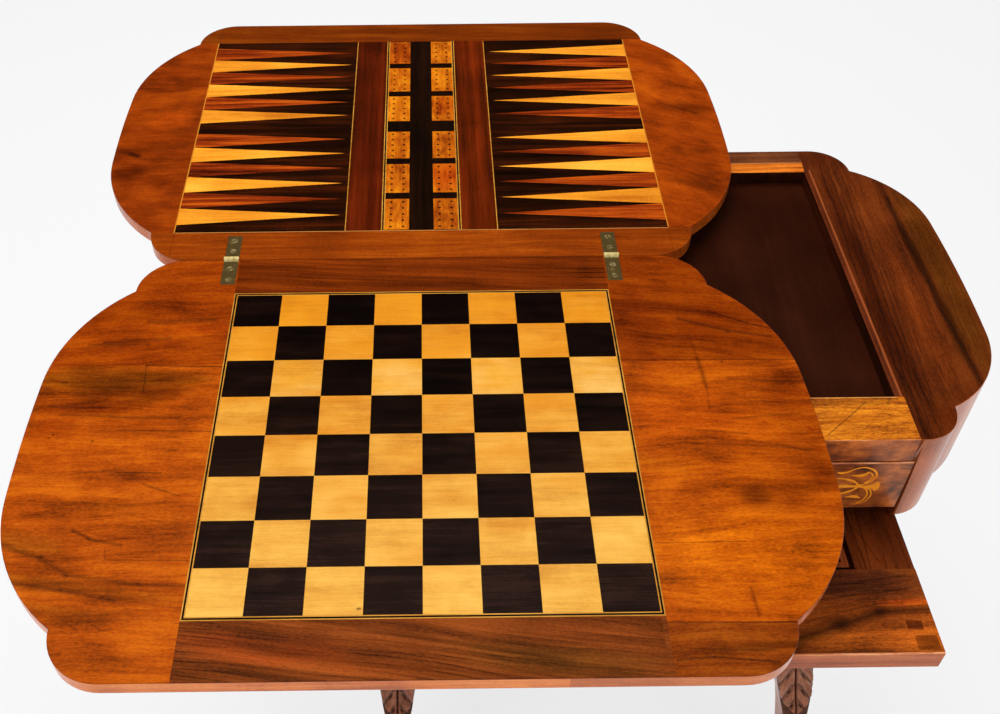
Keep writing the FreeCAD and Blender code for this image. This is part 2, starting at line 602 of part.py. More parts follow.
def make_drawer():
    """The drawer: dovetailed front and sides, back, bottom in grooves, lock and keyhole plate."""
    face = case_front - DRAWER_PROUD
    side_back = drawer_end
    side_top = drawer_bottom + DRAWER_SIDE_HEIGHT
    inner = drawer_half - DRAWER_SIDE
    panel_low = drawer_bottom + DRAWER_BOTTOM_LIFT
    panel_high = panel_low + DRAWER_BOTTOM
    panel_half = inner + DRAWER_GROOVE
    panel_front = drawer_front_back - DRAWER_GROOVE
    panel = block(-panel_half, panel_half, panel_front, side_back, panel_low, panel_high)

    front = block(-drawer_half, drawer_half, face, drawer_front_back, drawer_bottom, drawer_top)
    rim = [edge for edge in front.Edges if abs(edge.BoundBox.YMin - face) < 0.01
           and abs(edge.BoundBox.YMax - face) < 0.01]
    front = front.makeFillet(DRAWER_EDGE_ROUND, rim)
    tails = dovetail_tools()
    tails += [mirrored(tail) for tail in tails]
    lock_top = drawer_top - LOCK_DROP
    lock = block(-LOCK_WIDTH / 2, LOCK_WIDTH / 2, drawer_front_back - LOCK_DEPTH / 2,
                 drawer_front_back + LOCK_DEPTH / 2, lock_top - LOCK_HEIGHT, lock_top)
    plate_back = face + ESCUTCHEON_THICKNESS
    save("drawer_front", cut(front, panel, lock, keyhole(face, drawer_front_back),
                             escutcheon_blank(face, plate_back), *tails))
    save("drawer_lock", lock.cut(keyhole(face, drawer_front_back)))
    save("keyhole_plate", escutcheon_blank(face, plate_back).cut(keyhole(face, plate_back)))
    side = block(inner, drawer_half, drawer_front_back, side_back, drawer_bottom, side_top)
    side = cut(side.fuse(tails[:DOVETAIL_COUNT]).removeSplitter(), panel)
    save("drawer_sides", side, mirrored(side))
    save("drawer_back", block(-inner, inner, side_back - DRAWER_SIDE, side_back, panel_high,
                              panel_high + DRAWER_BACK_HEIGHT))
    save("drawer_bottom", panel)


# --------------------------------------------------------------------------------------- the work slide
def make_work_slide():
    """The sliding frame with the work well hung in it."""
    front = block(-SLIDE_HALF_X, SLIDE_HALF_X, slide_front, well_front, slide_bottom, slide_top)
    rim = [edge for edge in front.Edges if abs(edge.BoundBox.YMax - slide_front) < 0.01
           and edge.BoundBox.XLength > SLIDE_HALF_X]
    save("slide_front_board", front.makeFillet(SLIDE_FRONT_ROUND, rim))
    rail = block(well_half, SLIDE_HALF_X, well_front, slide_back, slide_bottom, slide_top)
    back = block(-well_half, well_half, well_back, slide_back, slide_bottom, slide_top)
    save("slide_rails", rail, mirrored(rail), back)

    outer_x = well_half - WELL_CLEAT
    outer_front, outer_back = well_front + WELL_CLEAT / 2, well_back - WELL_CLEAT
    inner_x = outer_x - WELL_WALL
    inner_front, inner_back = outer_front + WELL_WALL, outer_back - WELL_WALL
    well_bottom = slide_top - WELL_DEPTH
    cleat_top = slide_bottom + WELL_CLEAT_HEIGHT
    opening = block(-well_half, well_half, well_front, well_back, slide_bottom, cleat_top)
    body = block(-outer_x, outer_x, outer_front, outer_back, well_bottom, slide_top)
    hollow = block(-inner_x, inner_x, inner_front, inner_back, well_bottom, slide_top)
    panel_low = well_bottom + WELL_BOTTOM_LIFT
    save("well_cleats", cut(opening, body))
    wall_side = block(inner_x, outer_x, outer_front, outer_back, well_bottom, slide_top)
    wall_front = block(-inner_x, inner_x, outer_front, inner_front, well_bottom, slide_top)
    wall_back = block(-inner_x, inner_x, inner_back, outer_back, well_bottom, slide_top)
    save("well_walls", wall_side, mirrored(wall_side), wall_front, wall_back)
    save("well_bottom", hollow.common(block(-outer_x, outer_x, outer_front, outer_back,
                                            panel_low, panel_low + WELL_BOTTOM)))


# ----------------------------------------------------------------------------------------- the supports
def bearer_screws(grow=0.0):
    """Long screws up through bearer and runner into the case end, one node for all."""
    radius, head = BEARER_SCREW_RADIUS + grow, BEARER_SCREW_HEAD + grow
    profile = [(-grow, head, 0), (BEARER_SCREW_HEAD_DEPTH, head, 0), (BEARER_SCREW_HEAD_DEPTH, radius, 0),
               (BEARER_SCREW_LENGTH + grow, radius, 0)]
    return [turned(profile, Vec(sx * TRESTLE_X, sy * BEARER_SCREW_Y, bearer_bottom), Vec(0, 0, 1))
            for sx in (1, -1) for sy in (1, -1)]


def leg_curve(points):
    """A smooth curve through (reach, height) points in the plane of the leg."""
    curve = Part.BSplineCurve()
    curve.interpolate([Vec(TRESTLE_X, -reach, height) for reach, height in points])
    return curve.toShape()


def leg():
    """The right front leg: a swept, sawn shape from block to scroll foot, thinned towards the ankle."""
    root, knee, out = BLOCK_HALF_LENGTH - LEG_TENON, block_top - LEG_SHOULDER, LEG_REACH
    under = BLOCK_BOTTOM + LEG_SHOULDER / 3
    upper = [(root, knee), (0.41 * out, 0.99 * knee), (0.62 * out, 0.71 * knee), (0.75 * out, 0.53 * knee),
             (0.87 * out, 0.31 * knee), (out - SCROLL_RADIUS / 3, SCROLL_LIFT + SCROLL_RADIUS * 0.95)]
    lower = [(root, under), (0.395 * out, 0.905 * under), (0.555 * out, 0.665 * under),
             (0.67 * out, 0.41 * under), (0.80 * out, 0.175 * under),
             (out - SCROLL_RADIUS * 0.6, 0.02 * under)]
    edges = [leg_curve(upper), leg_curve(lower),
             Part.makeLine(Vec(TRESTLE_X, -root, knee), Vec(TRESTLE_X, -root, under)),
             Part.makeLine(Vec(TRESTLE_X, -upper[-1][0], upper[-1][1]),
                           Vec(TRESTLE_X, -lower[-1][0], lower[-1][1]))]
    outline = Part.Face(Part.Wire(Part.__sortEdges__(edges)))
    blank = outline.extrude(Vec(LEG_WIDTH, 0, 0)).translated(Vec(-LEG_WIDTH / 2, 0, 0))
    scroll = Part.makeCylinder(SCROLL_RADIUS, LEG_WIDTH,
                               Vec(TRESTLE_X - LEG_WIDTH / 2, -LEG_REACH, SCROLL_LIFT), Vec(1, 0, 0))
    floor = block(0, 2 * TRESTLE_X, -2 * LEG_REACH, 0, -SCROLL_RADIUS, 0)
    sawn = blank.fuse(scroll).cut(floor)
    wide, ankle = LEG_WIDTH / 2, LEG_ANKLE_WIDTH / 2
    taper = [(-wide, block_top), (-wide, 0.7 * knee), (-ankle * 1.15, 0.35 * knee), (-ankle, 0.2 * knee),
             (-ankle * 1.2, -0.01 * knee)]
    taper += [(-x, z) for x, z in reversed(taper)]
    corners = [Vec(TRESTLE_X + x, 0, z) for x, z in taper]
    front_view = Part.Face(Part.makePolygon(corners + corners[:1])).extrude(Vec(0, -2 * LEG_REACH, 0))
    return sawn.common(front_view)


def make_trestle():
    """One end support with its bearer, two turned pillars, block and two legs, and its mirror image."""
    screws = bearer_screws(SCREW_FIT)
    web_x = SLIDE_HALF_X + SLIDE_GAP
    reach = RUNNER_HALF_LENGTH
    runner = block(web_x, web_x + RUNNER_WEB, -reach, reach, runner_bottom, case_bottom)
    ledge = block(web_x - RUNNER_LEDGE, web_x, -reach, reach, runner_bottom, ledge_top)
    runner = cut(runner.fuse(ledge).removeSplitter(), *screws)
    half = BEARER_WIDTH / 2
    end = BEARER_HALF_LENGTH
    bearer = block(TRESTLE_X - half, TRESTLE_X + half, -end, end, bearer_bottom, runner_bottom)
    for sy in (-1, 1):
        bearer = bearer.cut(Part.makeCylinder(BEARER_END_RADIUS, BEARER_WIDTH,
                                              Vec(TRESTLE_X - half, sy * end, bearer_bottom), Vec(1, 0, 0)))
    bearer = cut(bearer, *screws)
    half = BLOCK_WIDTH / 2
    foot = block(TRESTLE_X - half, TRESTLE_X + half, -BLOCK_HALF_LENGTH, BLOCK_HALF_LENGTH,
                 BLOCK_BOTTOM, block_top)
    rim = [edge for edge in foot.Edges if abs(edge.BoundBox.ZMin - edge.BoundBox.ZMax) < 0.01]
    foot = foot.makeFillet(BLOCK_CHAMFER, rim)
    front_leg = leg()
    back_leg = front_to_back(front_leg)
    foot = cut(foot, front_leg, back_leg)
    tall = bearer_bottom - block_top
    full, neck, ring = PILLAR_RADIUS, PILLAR_RADIUS * 0.5, PILLAR_RADIUS * 0.62
    turning = [(0, full, 0), (0.05 * tall, full, 0), (0.07 * tall, neck, 0), *collar(0.08 * tall, ring),
               (0.13 * tall, neck, 0), (0.36 * tall, full * 0.9, -1.5), (0.40 * tall, neck, 0),
               *collar(0.41 * tall, ring), (0.46 * tall, neck * 0.9, 0), (0.86 * tall, neck * 1.4, -1.0),
               *collar(0.87 * tall, ring), (0.93 * tall, full, 0), (tall, full, 0)]
    pillars = [turned(turning, Vec(TRESTLE_X, sy * PILLAR_Y, block_top), Vec(0, 0, 1)) for sy in (-1, 1)]
    for side, turn in (("right", lambda shape: shape), ("left", mirrored)):
        save("block_" + side, turn(foot))
        save("pillars_" + side, *[turn(pillar) for pillar in pillars])
        save("leg_front_" + side, turn(front_leg))
        save("leg_back_" + side, turn(back_leg))
    save("slide_runners", runner, mirrored(runner))
    save("bearers", bearer, mirrored(bearer))
    save("bearer_screws", *bearer_screws())


def make_stretcher():
    """The turned rail between the two blocks."""
    span = 2 * TRESTLE_X - BLOCK_WIDTH
    full, thin = STRETCHER_RADIUS, STRETCHER_RADIUS * 0.6
    half = [(0, full * 0.9, 0), (0.03 * span, full * 0.9, 0), (0.04 * span, thin, 0),
            (0.20 * span, full * 0.9, -2.0), (0.22 * span, thin, 0), (0.40 * span, full * 0.8, -1.5),
            (0.42 * span, thin, 0), (0.46 * span, full * 0.9, -1.0), (0.475 * span, full, 0)]
    other = [(span - z, r) for z, r, _ in reversed(half)]
    swells = [0] + [swell for _, _, swell in reversed(half[1:])]
    turning = half + [(z, r, swell) for (z, r), swell in zip(other, swells)]
    middle = (BLOCK_BOTTOM + block_top) / 2
    save("stretcher", turned(turning, Vec(-span / 2, 0, middle), Vec(1, 0, 0)))


make_hinges()
make_chess_leaf()
make_backgammon_leaf()
make_pivot()
make_case()
make_drawer()
make_work_slide()
make_trestle()
make_stretcher()
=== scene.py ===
"""Looks of a games and work table: finishes, fine shapes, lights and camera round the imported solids.

All sizes are millimetres in the frame of the solids, with -Y towards the drawer side, unless a name says
otherwise. Meshes are built in millimetres and scaled to metres when a piece is finished.
"""

import logging
import math
from dataclasses import dataclass
from enum import Enum
from typing import Callable, Iterable, Mapping, Optional, Sequence, Union

import bmesh
import bpy
from mathutils import Matrix, Vector
from mathutils.geometry import interpolate_bezier


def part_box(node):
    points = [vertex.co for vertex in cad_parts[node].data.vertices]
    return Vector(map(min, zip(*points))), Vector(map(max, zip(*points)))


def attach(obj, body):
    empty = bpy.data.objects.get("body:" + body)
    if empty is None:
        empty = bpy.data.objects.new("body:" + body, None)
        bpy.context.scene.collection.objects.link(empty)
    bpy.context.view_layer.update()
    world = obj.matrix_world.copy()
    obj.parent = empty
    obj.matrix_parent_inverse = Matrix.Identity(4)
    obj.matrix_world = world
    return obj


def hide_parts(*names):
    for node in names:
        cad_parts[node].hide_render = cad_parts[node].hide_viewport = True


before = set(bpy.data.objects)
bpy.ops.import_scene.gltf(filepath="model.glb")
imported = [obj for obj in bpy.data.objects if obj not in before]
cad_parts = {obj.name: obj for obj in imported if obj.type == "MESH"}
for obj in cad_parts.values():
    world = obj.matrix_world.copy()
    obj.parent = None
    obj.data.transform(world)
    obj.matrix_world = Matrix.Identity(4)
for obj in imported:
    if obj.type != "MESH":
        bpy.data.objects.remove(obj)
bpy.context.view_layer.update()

log = logging.getLogger("table")

MM = 0.001
PER_METRE = 1000.0
# how far two places may differ and still count as one
HAIR = 0.02
# beyond every place on the table
FAR = 1e4
# a face whose normal rises more than this counts as a top
UPWARD = 0.8
WHITE = (1.0, 1.0, 1.0)
WARM = (1.0, 0.6, 0.25)
INK = (0.01, 0.004, 0.002)
# how far each layer of a wood's pattern, at full strength, moves the tone between dark (0) and pale (1)
GAIN = {"streak": 2.2, "fine": 1.5, "cloud": 1.6, "fibre": 0.9, "grit": 1.6, "lines": 0.8}
Colour = tuple[float, float, float]
Point = tuple[float, float, float]
Plan = tuple[float, float]
Row = Sequence[Union[float, Colour]]
Stroke = tuple[Point, ...]
Socket = bpy.types.NodeSocket
Number = Union[float, "Value"]


def shade(red: float, green: float, blue: float) -> Colour:
    """A colour given on the 0 to 255 scale of a paint chart, as scene-linear light.

    Args:
        red: level of red.
        green: level of green.
        blue: level of blue.

    Returns:
        The linear colour.
    """
    def linear(level: float) -> float:
        """One channel made linear, by the usual curve of screens."""
        share = level / 255
        return share / 12.92 if share <= 0.04045 else ((share + 0.055) / 1.055) ** 2.4
    return linear(red), linear(green), linear(blue)


def at(value: float, place: float, hair: float = HAIR) -> bool:
    """Whether a number lies at a place, within a hair."""
    return abs(value - place) < hair


# ------------------------------------------------------------------------------------- shader expressions
def joiner(operation: str, swapped: bool = False) -> Callable[["Value", Number], "Value"]:
    """Makes a method that joins a value and another number by one Math node.

    Args:
        operation: the node's operation.
        swapped: whether the other number comes first.

    Returns:
        The method.
    """
    def method(self: "Value", other: Number) -> "Value":
        """The joined value."""
        return self.paint.math(operation, *((other, self) if swapped else (self, other)))
    return method


class Value:
    """A number carried by a socket, so that shader maths reads as an expression."""

    def __init__(self, paint: "Paint", socket: Socket) -> None:
        """Wraps one output socket of a node tree."""
        self.paint = paint
        self.socket = socket

    __add__ = __radd__ = joiner("ADD")
    __sub__ = joiner("SUBTRACT")
    __rsub__ = joiner("SUBTRACT", swapped=True)
    __mul__ = __rmul__ = joiner("MULTIPLY")
    __truediv__ = joiner("DIVIDE")
    __pow__ = joiner("POWER")
    __mod__ = joiner("FLOORED_MODULO")
    __gt__ = joiner("GREATER_THAN")
    __lt__ = joiner("LESS_THAN")

    def __abs__(self) -> "Value":
        """Size without sign."""
        return self.paint.math("ABSOLUTE", self)

    def __floor__(self) -> "Value":
        """Whole part."""
        return self.paint.math("FLOOR", self)

    def held(self, low: float = 0.0, high: float = 1.0) -> "Value":
        """Kept between two levels."""
        return self.paint.math("MAXIMUM", self.paint.math("MINIMUM", self, high), low)

    def eased(self, low: float, high: float) -> "Value":
        """0 below low, 1 above high, with a smooth passage between.

        Args:
            low: where the passage begins.
            high: where it ends.

        Returns:
            The eased value.
        """
        node = self.paint.node("MapRange", {"interpolation_type": "SMOOTHSTEP"},
                               {"Value": self, "From Min": low, "From Max": high})
        return Value(self.paint, node.outputs["Result"])


class Paint:
    """A node tree under construction; every node goes in through the method node."""

    def __init__(self, tree: bpy.types.NodeTree) -> None:
        """Starts from an empty tree."""
        self.tree = tree
        tree.nodes.clear()

    def node(self, kind: str, settings: Optional[Mapping] = None,
             sockets: Optional[Mapping] = None) -> bpy.types.Node:
        """Adds one node.

        Args:
            kind: the node's type without its common prefix.
            settings: properties to set first; "stops" lists (place, colour) pairs of a ramp.
            sockets: values or links of inputs, by name or number.

        Returns:
            The new node.
        """
        made = self.tree.nodes.new("ShaderNode" + kind)
        for name, value in (settings or {}).items():
            if name == "stops":
                ramp = made.color_ramp.elements
                for _ in range(len(value) - len(ramp)):
                    ramp.new(0.5)
                for stop, (place, colour) in zip(ramp, value):
                    stop.position, stop.color = place, (*colour, 1.0)
            else:
                setattr(made, name, value)
        for name, value in (sockets or {}).items():
            entry = made.inputs[name]
            if isinstance(value, Value):
                self.tree.links.new(value.socket, entry)
            elif isinstance(value, bpy.types.NodeSocket):
                self.tree.links.new(value, entry)
            elif entry.type == "RGBA":
                entry.default_value = (*value, 1.0)
            else:
                entry.default_value = value
        return made

    def math(self, operation: str, *terms: Number) -> Value:
        """One Math node on numbers or values."""
        made = self.node("Math", {"operation": operation}, dict(enumerate(terms)))
        return Value(self, made.outputs[0])

    def vector(self, operation: str, *terms: Union[Socket, Point]) -> Socket:
        """One Vector Math node on vectors."""
        return self.node("VectorMath", {"operation": operation}, dict(enumerate(terms))).outputs[0]

    def place(self) -> Socket:
        """Object coordinates in millimetres."""
        return self.vector("MULTIPLY", self.node("TexCoord").outputs["Object"], (PER_METRE,) * 3)

    def parts(self, vector: Socket) -> tuple[Value, Value, Value]:
        """The three numbers of a vector."""
        made = self.node("SeparateXYZ", {}, {0: vector})
        return tuple(Value(self, output) for output in made.outputs)

    def rays(self) -> tuple[Value, Value, Value]:
        """1 for what the eye sees straight, mirrored, and through glass.

        Returns:
            The three masks.
        """
        path = self.node("LightPath").outputs
        return tuple(Value(self, path[name])
                     for name in ("Is Camera Ray", "Is Glossy Ray", "Is Transmission Ray"))

    def mix(self, factor: Number, first: Union[Socket, Colour], second: Union[Socket, Colour],
            blend: str = "MIX") -> Socket:
        """Two colours through a Mix node."""
        made = self.node("Mix", {"data_type": "RGBA", "blend_type": blend}, {0: factor, 6: first, 7: second})
        return made.outputs[2]

    def swap(self, factor: Number, first: Socket, second: Socket) -> Socket:
        """Two vectors through a Mix node."""
        made = self.node("Mix", {"data_type": "VECTOR"}, {0: factor, 4: first, 5: second})
        return made.outputs[1]

    def noise(self, place: Socket, grid: Point, seed: float, detail: float = 2.0,
              rough: float = 0.5, twist: float = 0.0) -> Value:
        """Soft noise between 0 and 1 whose cells are grid millimetres along each axis.

        Args:
            place: where it is read.
            grid: cell size along each axis.
            seed: offset of the pattern.
            detail: number of finer layers.
            rough: share of the finer layers.
            twist: distortion.

        Returns:
            The noise.
        """
        scale = tuple(1.0 / step for step in grid)
        spot = self.vector("MULTIPLY_ADD", place, scale, (seed * 3.1, seed * 5.3, seed * 1.9))
        made = self.node("TexNoise", {"noise_dimensions": "3D"},
                         {"Vector": spot, "Scale": 1.0, "Detail": detail, "Roughness": rough,
                          "Distortion": twist})
        return Value(self, made.outputs[0])

    def bump(self, height: Value, depth: float) -> Socket:
        """A normal from a height between 0 and 1 that is depth millimetres deep."""
        return self.node("Bump", {}, {"Height": height, "Strength": 1.0, "Distance": depth * MM}).outputs[0]

    def surface(self, **sockets: object) -> None:
        """Ends a material with the one shader that all finishes use.

        Args:
            **sockets: the shader's inputs, with underscores for spaces.
        """
        names = {name.replace("_", " ").title().replace("Ior", "IOR"): value
                 for name, value in sockets.items()}
        shader = self.node("BsdfPrincipled", {}, names)
        self.node("OutputMaterial", {}, {"Surface": shader.outputs[0]})


# ------------------------------------------------------------------------------------------------ finishes
@dataclass(frozen=True)
class Finish:
    """A procedural finish, known by its name."""

    name: str

    def material(self) -> bpy.types.Material:
        """The finish as a material, made once.

        Returns:
            The material.
        """
        made = bpy.data.materials.get(self.name)
        if made is None:
            made = bpy.data.materials.new(self.name)
            made.use_nodes = True
            self.lay(Paint(made.node_tree))
        return made

    def lay(self, paint: Paint) -> None:
        """Builds the nodes; each kind of finish has its own."""
        raise NotImplementedError


class Axis(Enum):
    """Which way the fibres of a wood run."""

    X = 0
    Y = 1
    Z = 2


@dataclass(frozen=True)
class SheetAndShade:
    """A separate sheet of veneer in a finish: its plan, how it was laid, and its own tone; on the leaf edge
    it is instead a zone of painted shade.
    """

    low: Plan
    high: Plan
    shift: Point = (0.0, 0.0, 0.0)
    turn: float = 0.0
    tint: Colour = WHITE

    def mask(self, x: Value, y: Value) -> Value:
        """1 over the sheet's plan.

        Args:
            x: place along X.
            y: place along Y.

        Returns:
            The mask.
        """
        inside = None
        for value, low, high in ((x, self.low[0], self.high[0]), (y, self.low[1], self.high[1])):
            for test in ([value > low] if low > -FAR else []) + ([value < high] if high < FAR else []):
                inside = test if inside is None else inside * test
        return inside


@dataclass(frozen=True)
class Mark:
    """A crack, seam, scratch or spot, or a painted highlight along an arris: a line in plan with a width,
    darker or lighter than the wood.
    """

    start: Plan
    end: Plan
    width: float
    strength: float = 0.7
    waver: float = 0.0
    colour: Colour = INK

    def mask(self, x: Value, y: Value, drift: Value) -> Value:
        """How much of the mark shows at a place; drift is a soft noise that makes the line wander.

        Args:
            x: place along X.
            y: place along Y.
            drift: the soft noise.

        Returns:
            The mask, up to the mark's strength.
        """
        run = Vector(self.end) - Vector(self.start)
        length = max(run.length, 0.01)
        run = run / length
        dx, dy = x - self.start[0], y - self.start[1]
        along = dx * run.x + dy * run.y
        aside = dy * run.x - dx * run.y
        if self.waver:
            aside = aside + (drift - 0.5) * self.waver
        beyond = abs(along - length / 2) - length / 2
        gap = (aside * aside + beyond.held(0.0, FAR) ** 2) ** 0.5
        return (1 - gap / self.width).held() * self.strength


@dataclass(frozen=True)
class StainAndShade:
    """A soft-edged patch, long along its own turn, where a finish is darker, paler or of another hue: a stain
    in the wood, or painted shade and painted reflection where the light falls off across a board.
    """

    centre: Plan
    reach: Plan
    tint: Colour
    turn: float = 0.0
    fray: float = 1.3
    border: Plan = (0.25, 1.15)

    def mask(self, x: Value, y: Value, drift: Value) -> Value:
        """How much of the patch shows at a place; drift is a soft noise that frays its border.

        Args:
            x: place along X.
            y: place along Y.
            drift: the soft noise.

        Returns:
            The mask.
        """
        cosine, sine = math.cos(math.radians(self.turn)), math.sin(math.radians(self.turn))
        dx, dy = x - self.centre[0], y - self.centre[1]
        along = (dx * cosine + dy * sine) / self.reach[0]
        aside = (dy * cosine - dx * sine) / self.reach[1]
        gap = (along * along + aside * aside) ** 0.5 + (drift - 0.5) * self.fray
        return 1 - gap.eased(*self.border)


def marks_of(*rows: Row) -> tuple[Mark, ...]:
    """Marks from rows of start x and y, end x and y, width, strength, waver and colour."""
    return tuple(Mark(row[:2], row[2:4], *row[4:]) for row in rows)


def stains_and_shades_of(*rows: Row) -> tuple[StainAndShade, ...]:
    """Stains and patches of painted shade from rows of centre x and y, reach along and across, the tint's
    three parts, and turn.
    """
    return tuple(StainAndShade(row[:2], row[2:4], row[4:7], *row[7:]) for row in rows)


@dataclass(frozen=True)
class Cells:
    """A field of like pieces cut from different stock, mirrored about a line.

    The pieces of one row share a tone; rows are counted away from the line on both sides.
    """

    start: Plan
    pitch: Plan
    spread: float
    slide: float = 900.0
    mirror: float = -FAR
    side_step: float = 7.0

    def key(self, paint: Paint, x: Value, y: Value, seed: float) -> Socket:
        """A vector that is the same all over one piece and differs from piece to piece.

        Args:
            paint: the node tree.
            x: place along X.
            y: place along Y.
            seed: the wood's seed.

        Returns:
            The vector.
        """
        column = math.floor((x - self.start[0]) / self.pitch[0])
        beside = y - self.start[1]
        if self.mirror > -FAR:
            beside = abs(y - self.mirror) - self.start[1]
            column = column + (y > self.mirror) * self.side_step
        row = math.floor(beside / self.pitch[1])
        return paint.node("CombineXYZ", {}, {0: column, 1: row, 2: seed}).outputs[0]


@dataclass(frozen=True)
class Wood(Finish):
    """A polished wood: its tones, how its grain lies and how its surface shines.

    Every layer of noise has a seed of its own, a fixed step away from the wood's seed.
    """

    pale: Colour
    body: Colour
    dark: Colour
    grain: Axis = Axis.X
    stripe: float = 16.0
    run: float = 420.0
    wander: float = 20.0
    wander_length: float = 150.0
    streak: float = 0.55
    fine: float = 0.5
    lines: float = 0.35
    line_pitch: float = 11.0
    cloud: float = 0.5
    cloud_size: float = 90.0
    fibre: float = 0.25
    pores: float = 0.3
    seed: float = 1.0
    roughness: float = 0.22
    specular: float = 0.3
    coat: float = 0.15
    coat_roughness: float = 0.08
    relief: float = 0.02
    # veneer sheets, and on the leaf edge a zone of painted shade
    sheets_and_shades: tuple[SheetAndShade, ...] = ()
    marks: tuple[Mark, ...] = ()
    # stains in the wood, and patches of painted shade and painted reflection
    stains_and_shades: tuple[StainAndShade, ...] = ()
    cells: Optional[Cells] = None
    # how dark carved hollows are painted, for dirt and painted shade
    hollow: float = 0.0
    curl: float = 1.5
    grit: float = 0.3
    sheen: Colour = WARM

    def grid(self, along: float, across: float) -> Point:
        """Noise cells that are long along the fibres.

        Args:
            along: length of a cell.
            across: width of a cell.

        Returns:
            The cell size along each axis.
        """
        steps = [across, across, across]
        steps[self.grain.value] = along
        return tuple(steps)

    def deep(self, share: float) -> Colour:
        """A part of the darkest tone, for pores, and for the dirt and painted shade in carved hollows."""
        return tuple(share * part for part in self.dark)

    def bent(self, paint: Paint, place: Socket) -> Socket:
        """Places moved aside by a slow sway, so that the stripes wander.

        Args:
            paint: the node tree.
            place: places in millimetres.

        Returns:
            The moved places.
        """
        steps = self.grid(self.wander_length, self.wander_length * 0.45)
        sway = paint.node("TexNoise", {"noise_dimensions": "3D"}, {
            "Vector": paint.vector("MULTIPLY_ADD", place, tuple(1 / step for step in steps),
                                   (self.seed, self.seed * 2.3, self.seed * 0.7)),
            "Scale": 1.0, "Detail": 1.5, "Roughness": 0.45}).outputs["Color"]
        aside = paint.vector("MULTIPLY", paint.vector("SUBTRACT", sway, (0.5, 0.5, 0.5)),
                             self.grid(0.15 * self.wander, self.wander))
        return paint.vector("ADD", place, aside)

    def ring_lines(self, paint: Paint, place: Socket, bent: Socket) -> Value:
        """Dark growth lines with one soft and one crisp side, present in places only.

        Args:
            paint: the node tree.
            place: places in millimetres.
            bent: the swayed places.

        Returns:
            How dark the lines are.
        """
        swirl = paint.noise(bent, self.grid(self.run * 0.5, self.stripe * 1.8), self.seed + 7, 1.0, 0.4)
        across = paint.parts(bent)[0 if self.grain is Axis.Y else 1]
        ring = (across / self.line_pitch + swirl * self.curl) % 1.0
        edge = ring.eased(0.68, 0.97) * (1 - ring.eased(0.97, 1.0))
        rare = paint.noise(place, (55.0,) * 3, self.seed + 21, 2.0).eased(0.42, 0.68)
        return edge * rare * (GAIN["lines"] * self.lines)

    def drawn_over(self, paint: Paint, colour: Socket, origin: Socket, x: Value, y: Value) -> Socket:
        """The colour with its stains and painted shade, and then its marks and painted highlights, laid over
        it in their order.

        Args:
            paint: the node tree.
            colour: the wood's colour.
            origin: places on the table.
            x: place along X.
            y: place along Y.

        Returns:
            The colour.
        """
        if self.stains_and_shades:
            fray = paint.noise(origin, self.grid(80.0, 26.0), self.seed + 43, 4.0, 0.6)
            for tone_patch in self.stains_and_shades:
                colour = paint.mix(tone_patch.mask(x, y, fray), colour, tone_patch.tint, "MULTIPLY")
        if self.marks:
            drift = paint.noise(origin, self.grid(34.0, 11.0), self.seed + 41, 2.0)
            for mark in self.marks:
                colour = paint.mix(mark.mask(x, y, drift), colour, mark.colour)
        return colour

    def lay(self, paint: Paint) -> None:
        """Sheets and pieces first, then the grain's layers, the tones, and what lies over them.

        Args:
            paint: the empty node tree.
        """
        origin = paint.place()
        x, y, _ = paint.parts(origin)
        place, tone = origin, WHITE
        # each sheet's tint is a veneer's own tone; on the leaf edge it is painted shade
        for sheet in self.sheets_and_shades:
            here = sheet.mask(x, y)
            laid = paint.node("Mapping", {}, {"Vector": origin, "Location": sheet.shift,
                                              "Rotation": (0.0, 0.0, math.radians(sheet.turn))})
            place = paint.swap(here, place, laid.outputs[0])
            tone = paint.mix(here, tone, sheet.tint)
        lift = None
        if self.cells:
            dice = paint.node("TexWhiteNoise", {"noise_dimensions": "3D"},
                              {"Vector": self.cells.key(paint, x, y, self.seed)})
            place = paint.vector("MULTIPLY_ADD", dice.outputs["Color"], (self.cells.slide,) * 3, place)
            lift = (Value(paint, dice.outputs["Value"]) - 0.5) * self.cells.spread

        bent = self.bent(paint, place)
        thread = paint.noise(bent, self.grid(34.0, 0.8), self.seed + 13, 2.0, 0.6)
        layers = {
            "streak": paint.noise(bent, self.grid(self.run, self.stripe), self.seed + 2, 2.0, 0.55),
            "fine": paint.noise(bent, self.grid(self.run * 0.45, self.stripe * 0.2), self.seed + 5, 4.0,
                                0.65),
            "cloud": paint.noise(place, (self.cloud_size,) * 3, self.seed + 9, 2.0, 0.5, 0.4),
            "fibre": thread,
            "grit": paint.noise(place, self.grid(3.4, 1.5), self.seed + 17, 3.0, 0.7)}
        level = 0.5
        for name, layer in layers.items():
            level = level + (layer - 0.5) * (GAIN[name] * getattr(self, name))
        if self.lines:
            level = level - self.ring_lines(paint, place, bent)
        if lift is not None:
            level = level + lift
        stops = ((0.12, self.dark), (0.5, self.body), (0.88, self.pale))
        colour = paint.node("ValToRGB", {"stops": stops}, {"Fac": level}).outputs[0]
        if self.pores:
            pore = paint.noise(bent, self.grid(7.0, 0.45), self.seed + 31, 1.0, 0.5).eased(0.6, 0.72)
            colour = paint.mix(pore * self.pores, colour, self.deep(0.3))
        if self.sheets_and_shades:
            colour = paint.mix(1.0, colour, tone, "MULTIPLY")
        colour = self.drawn_over(paint, colour, origin, x, y)
        # carved hollows darkened from the mesh's attribute, for dirt and as painted shade in the recesses
        if self.hollow:
            sunk = Value(paint, paint.node("Attribute", {"attribute_name": "hollow"}).outputs["Fac"])
            colour = paint.mix(sunk * self.hollow, colour, self.deep(0.35))
        paint.surface(base_color=colour, roughness=thread * 0.08 + (self.roughness - 0.04),
                      specular_ior_level=self.specular, specular_tint=self.sheen, coat_weight=self.coat,
                      coat_roughness=self.coat_roughness, normal=paint.bump(thread, self.relief))


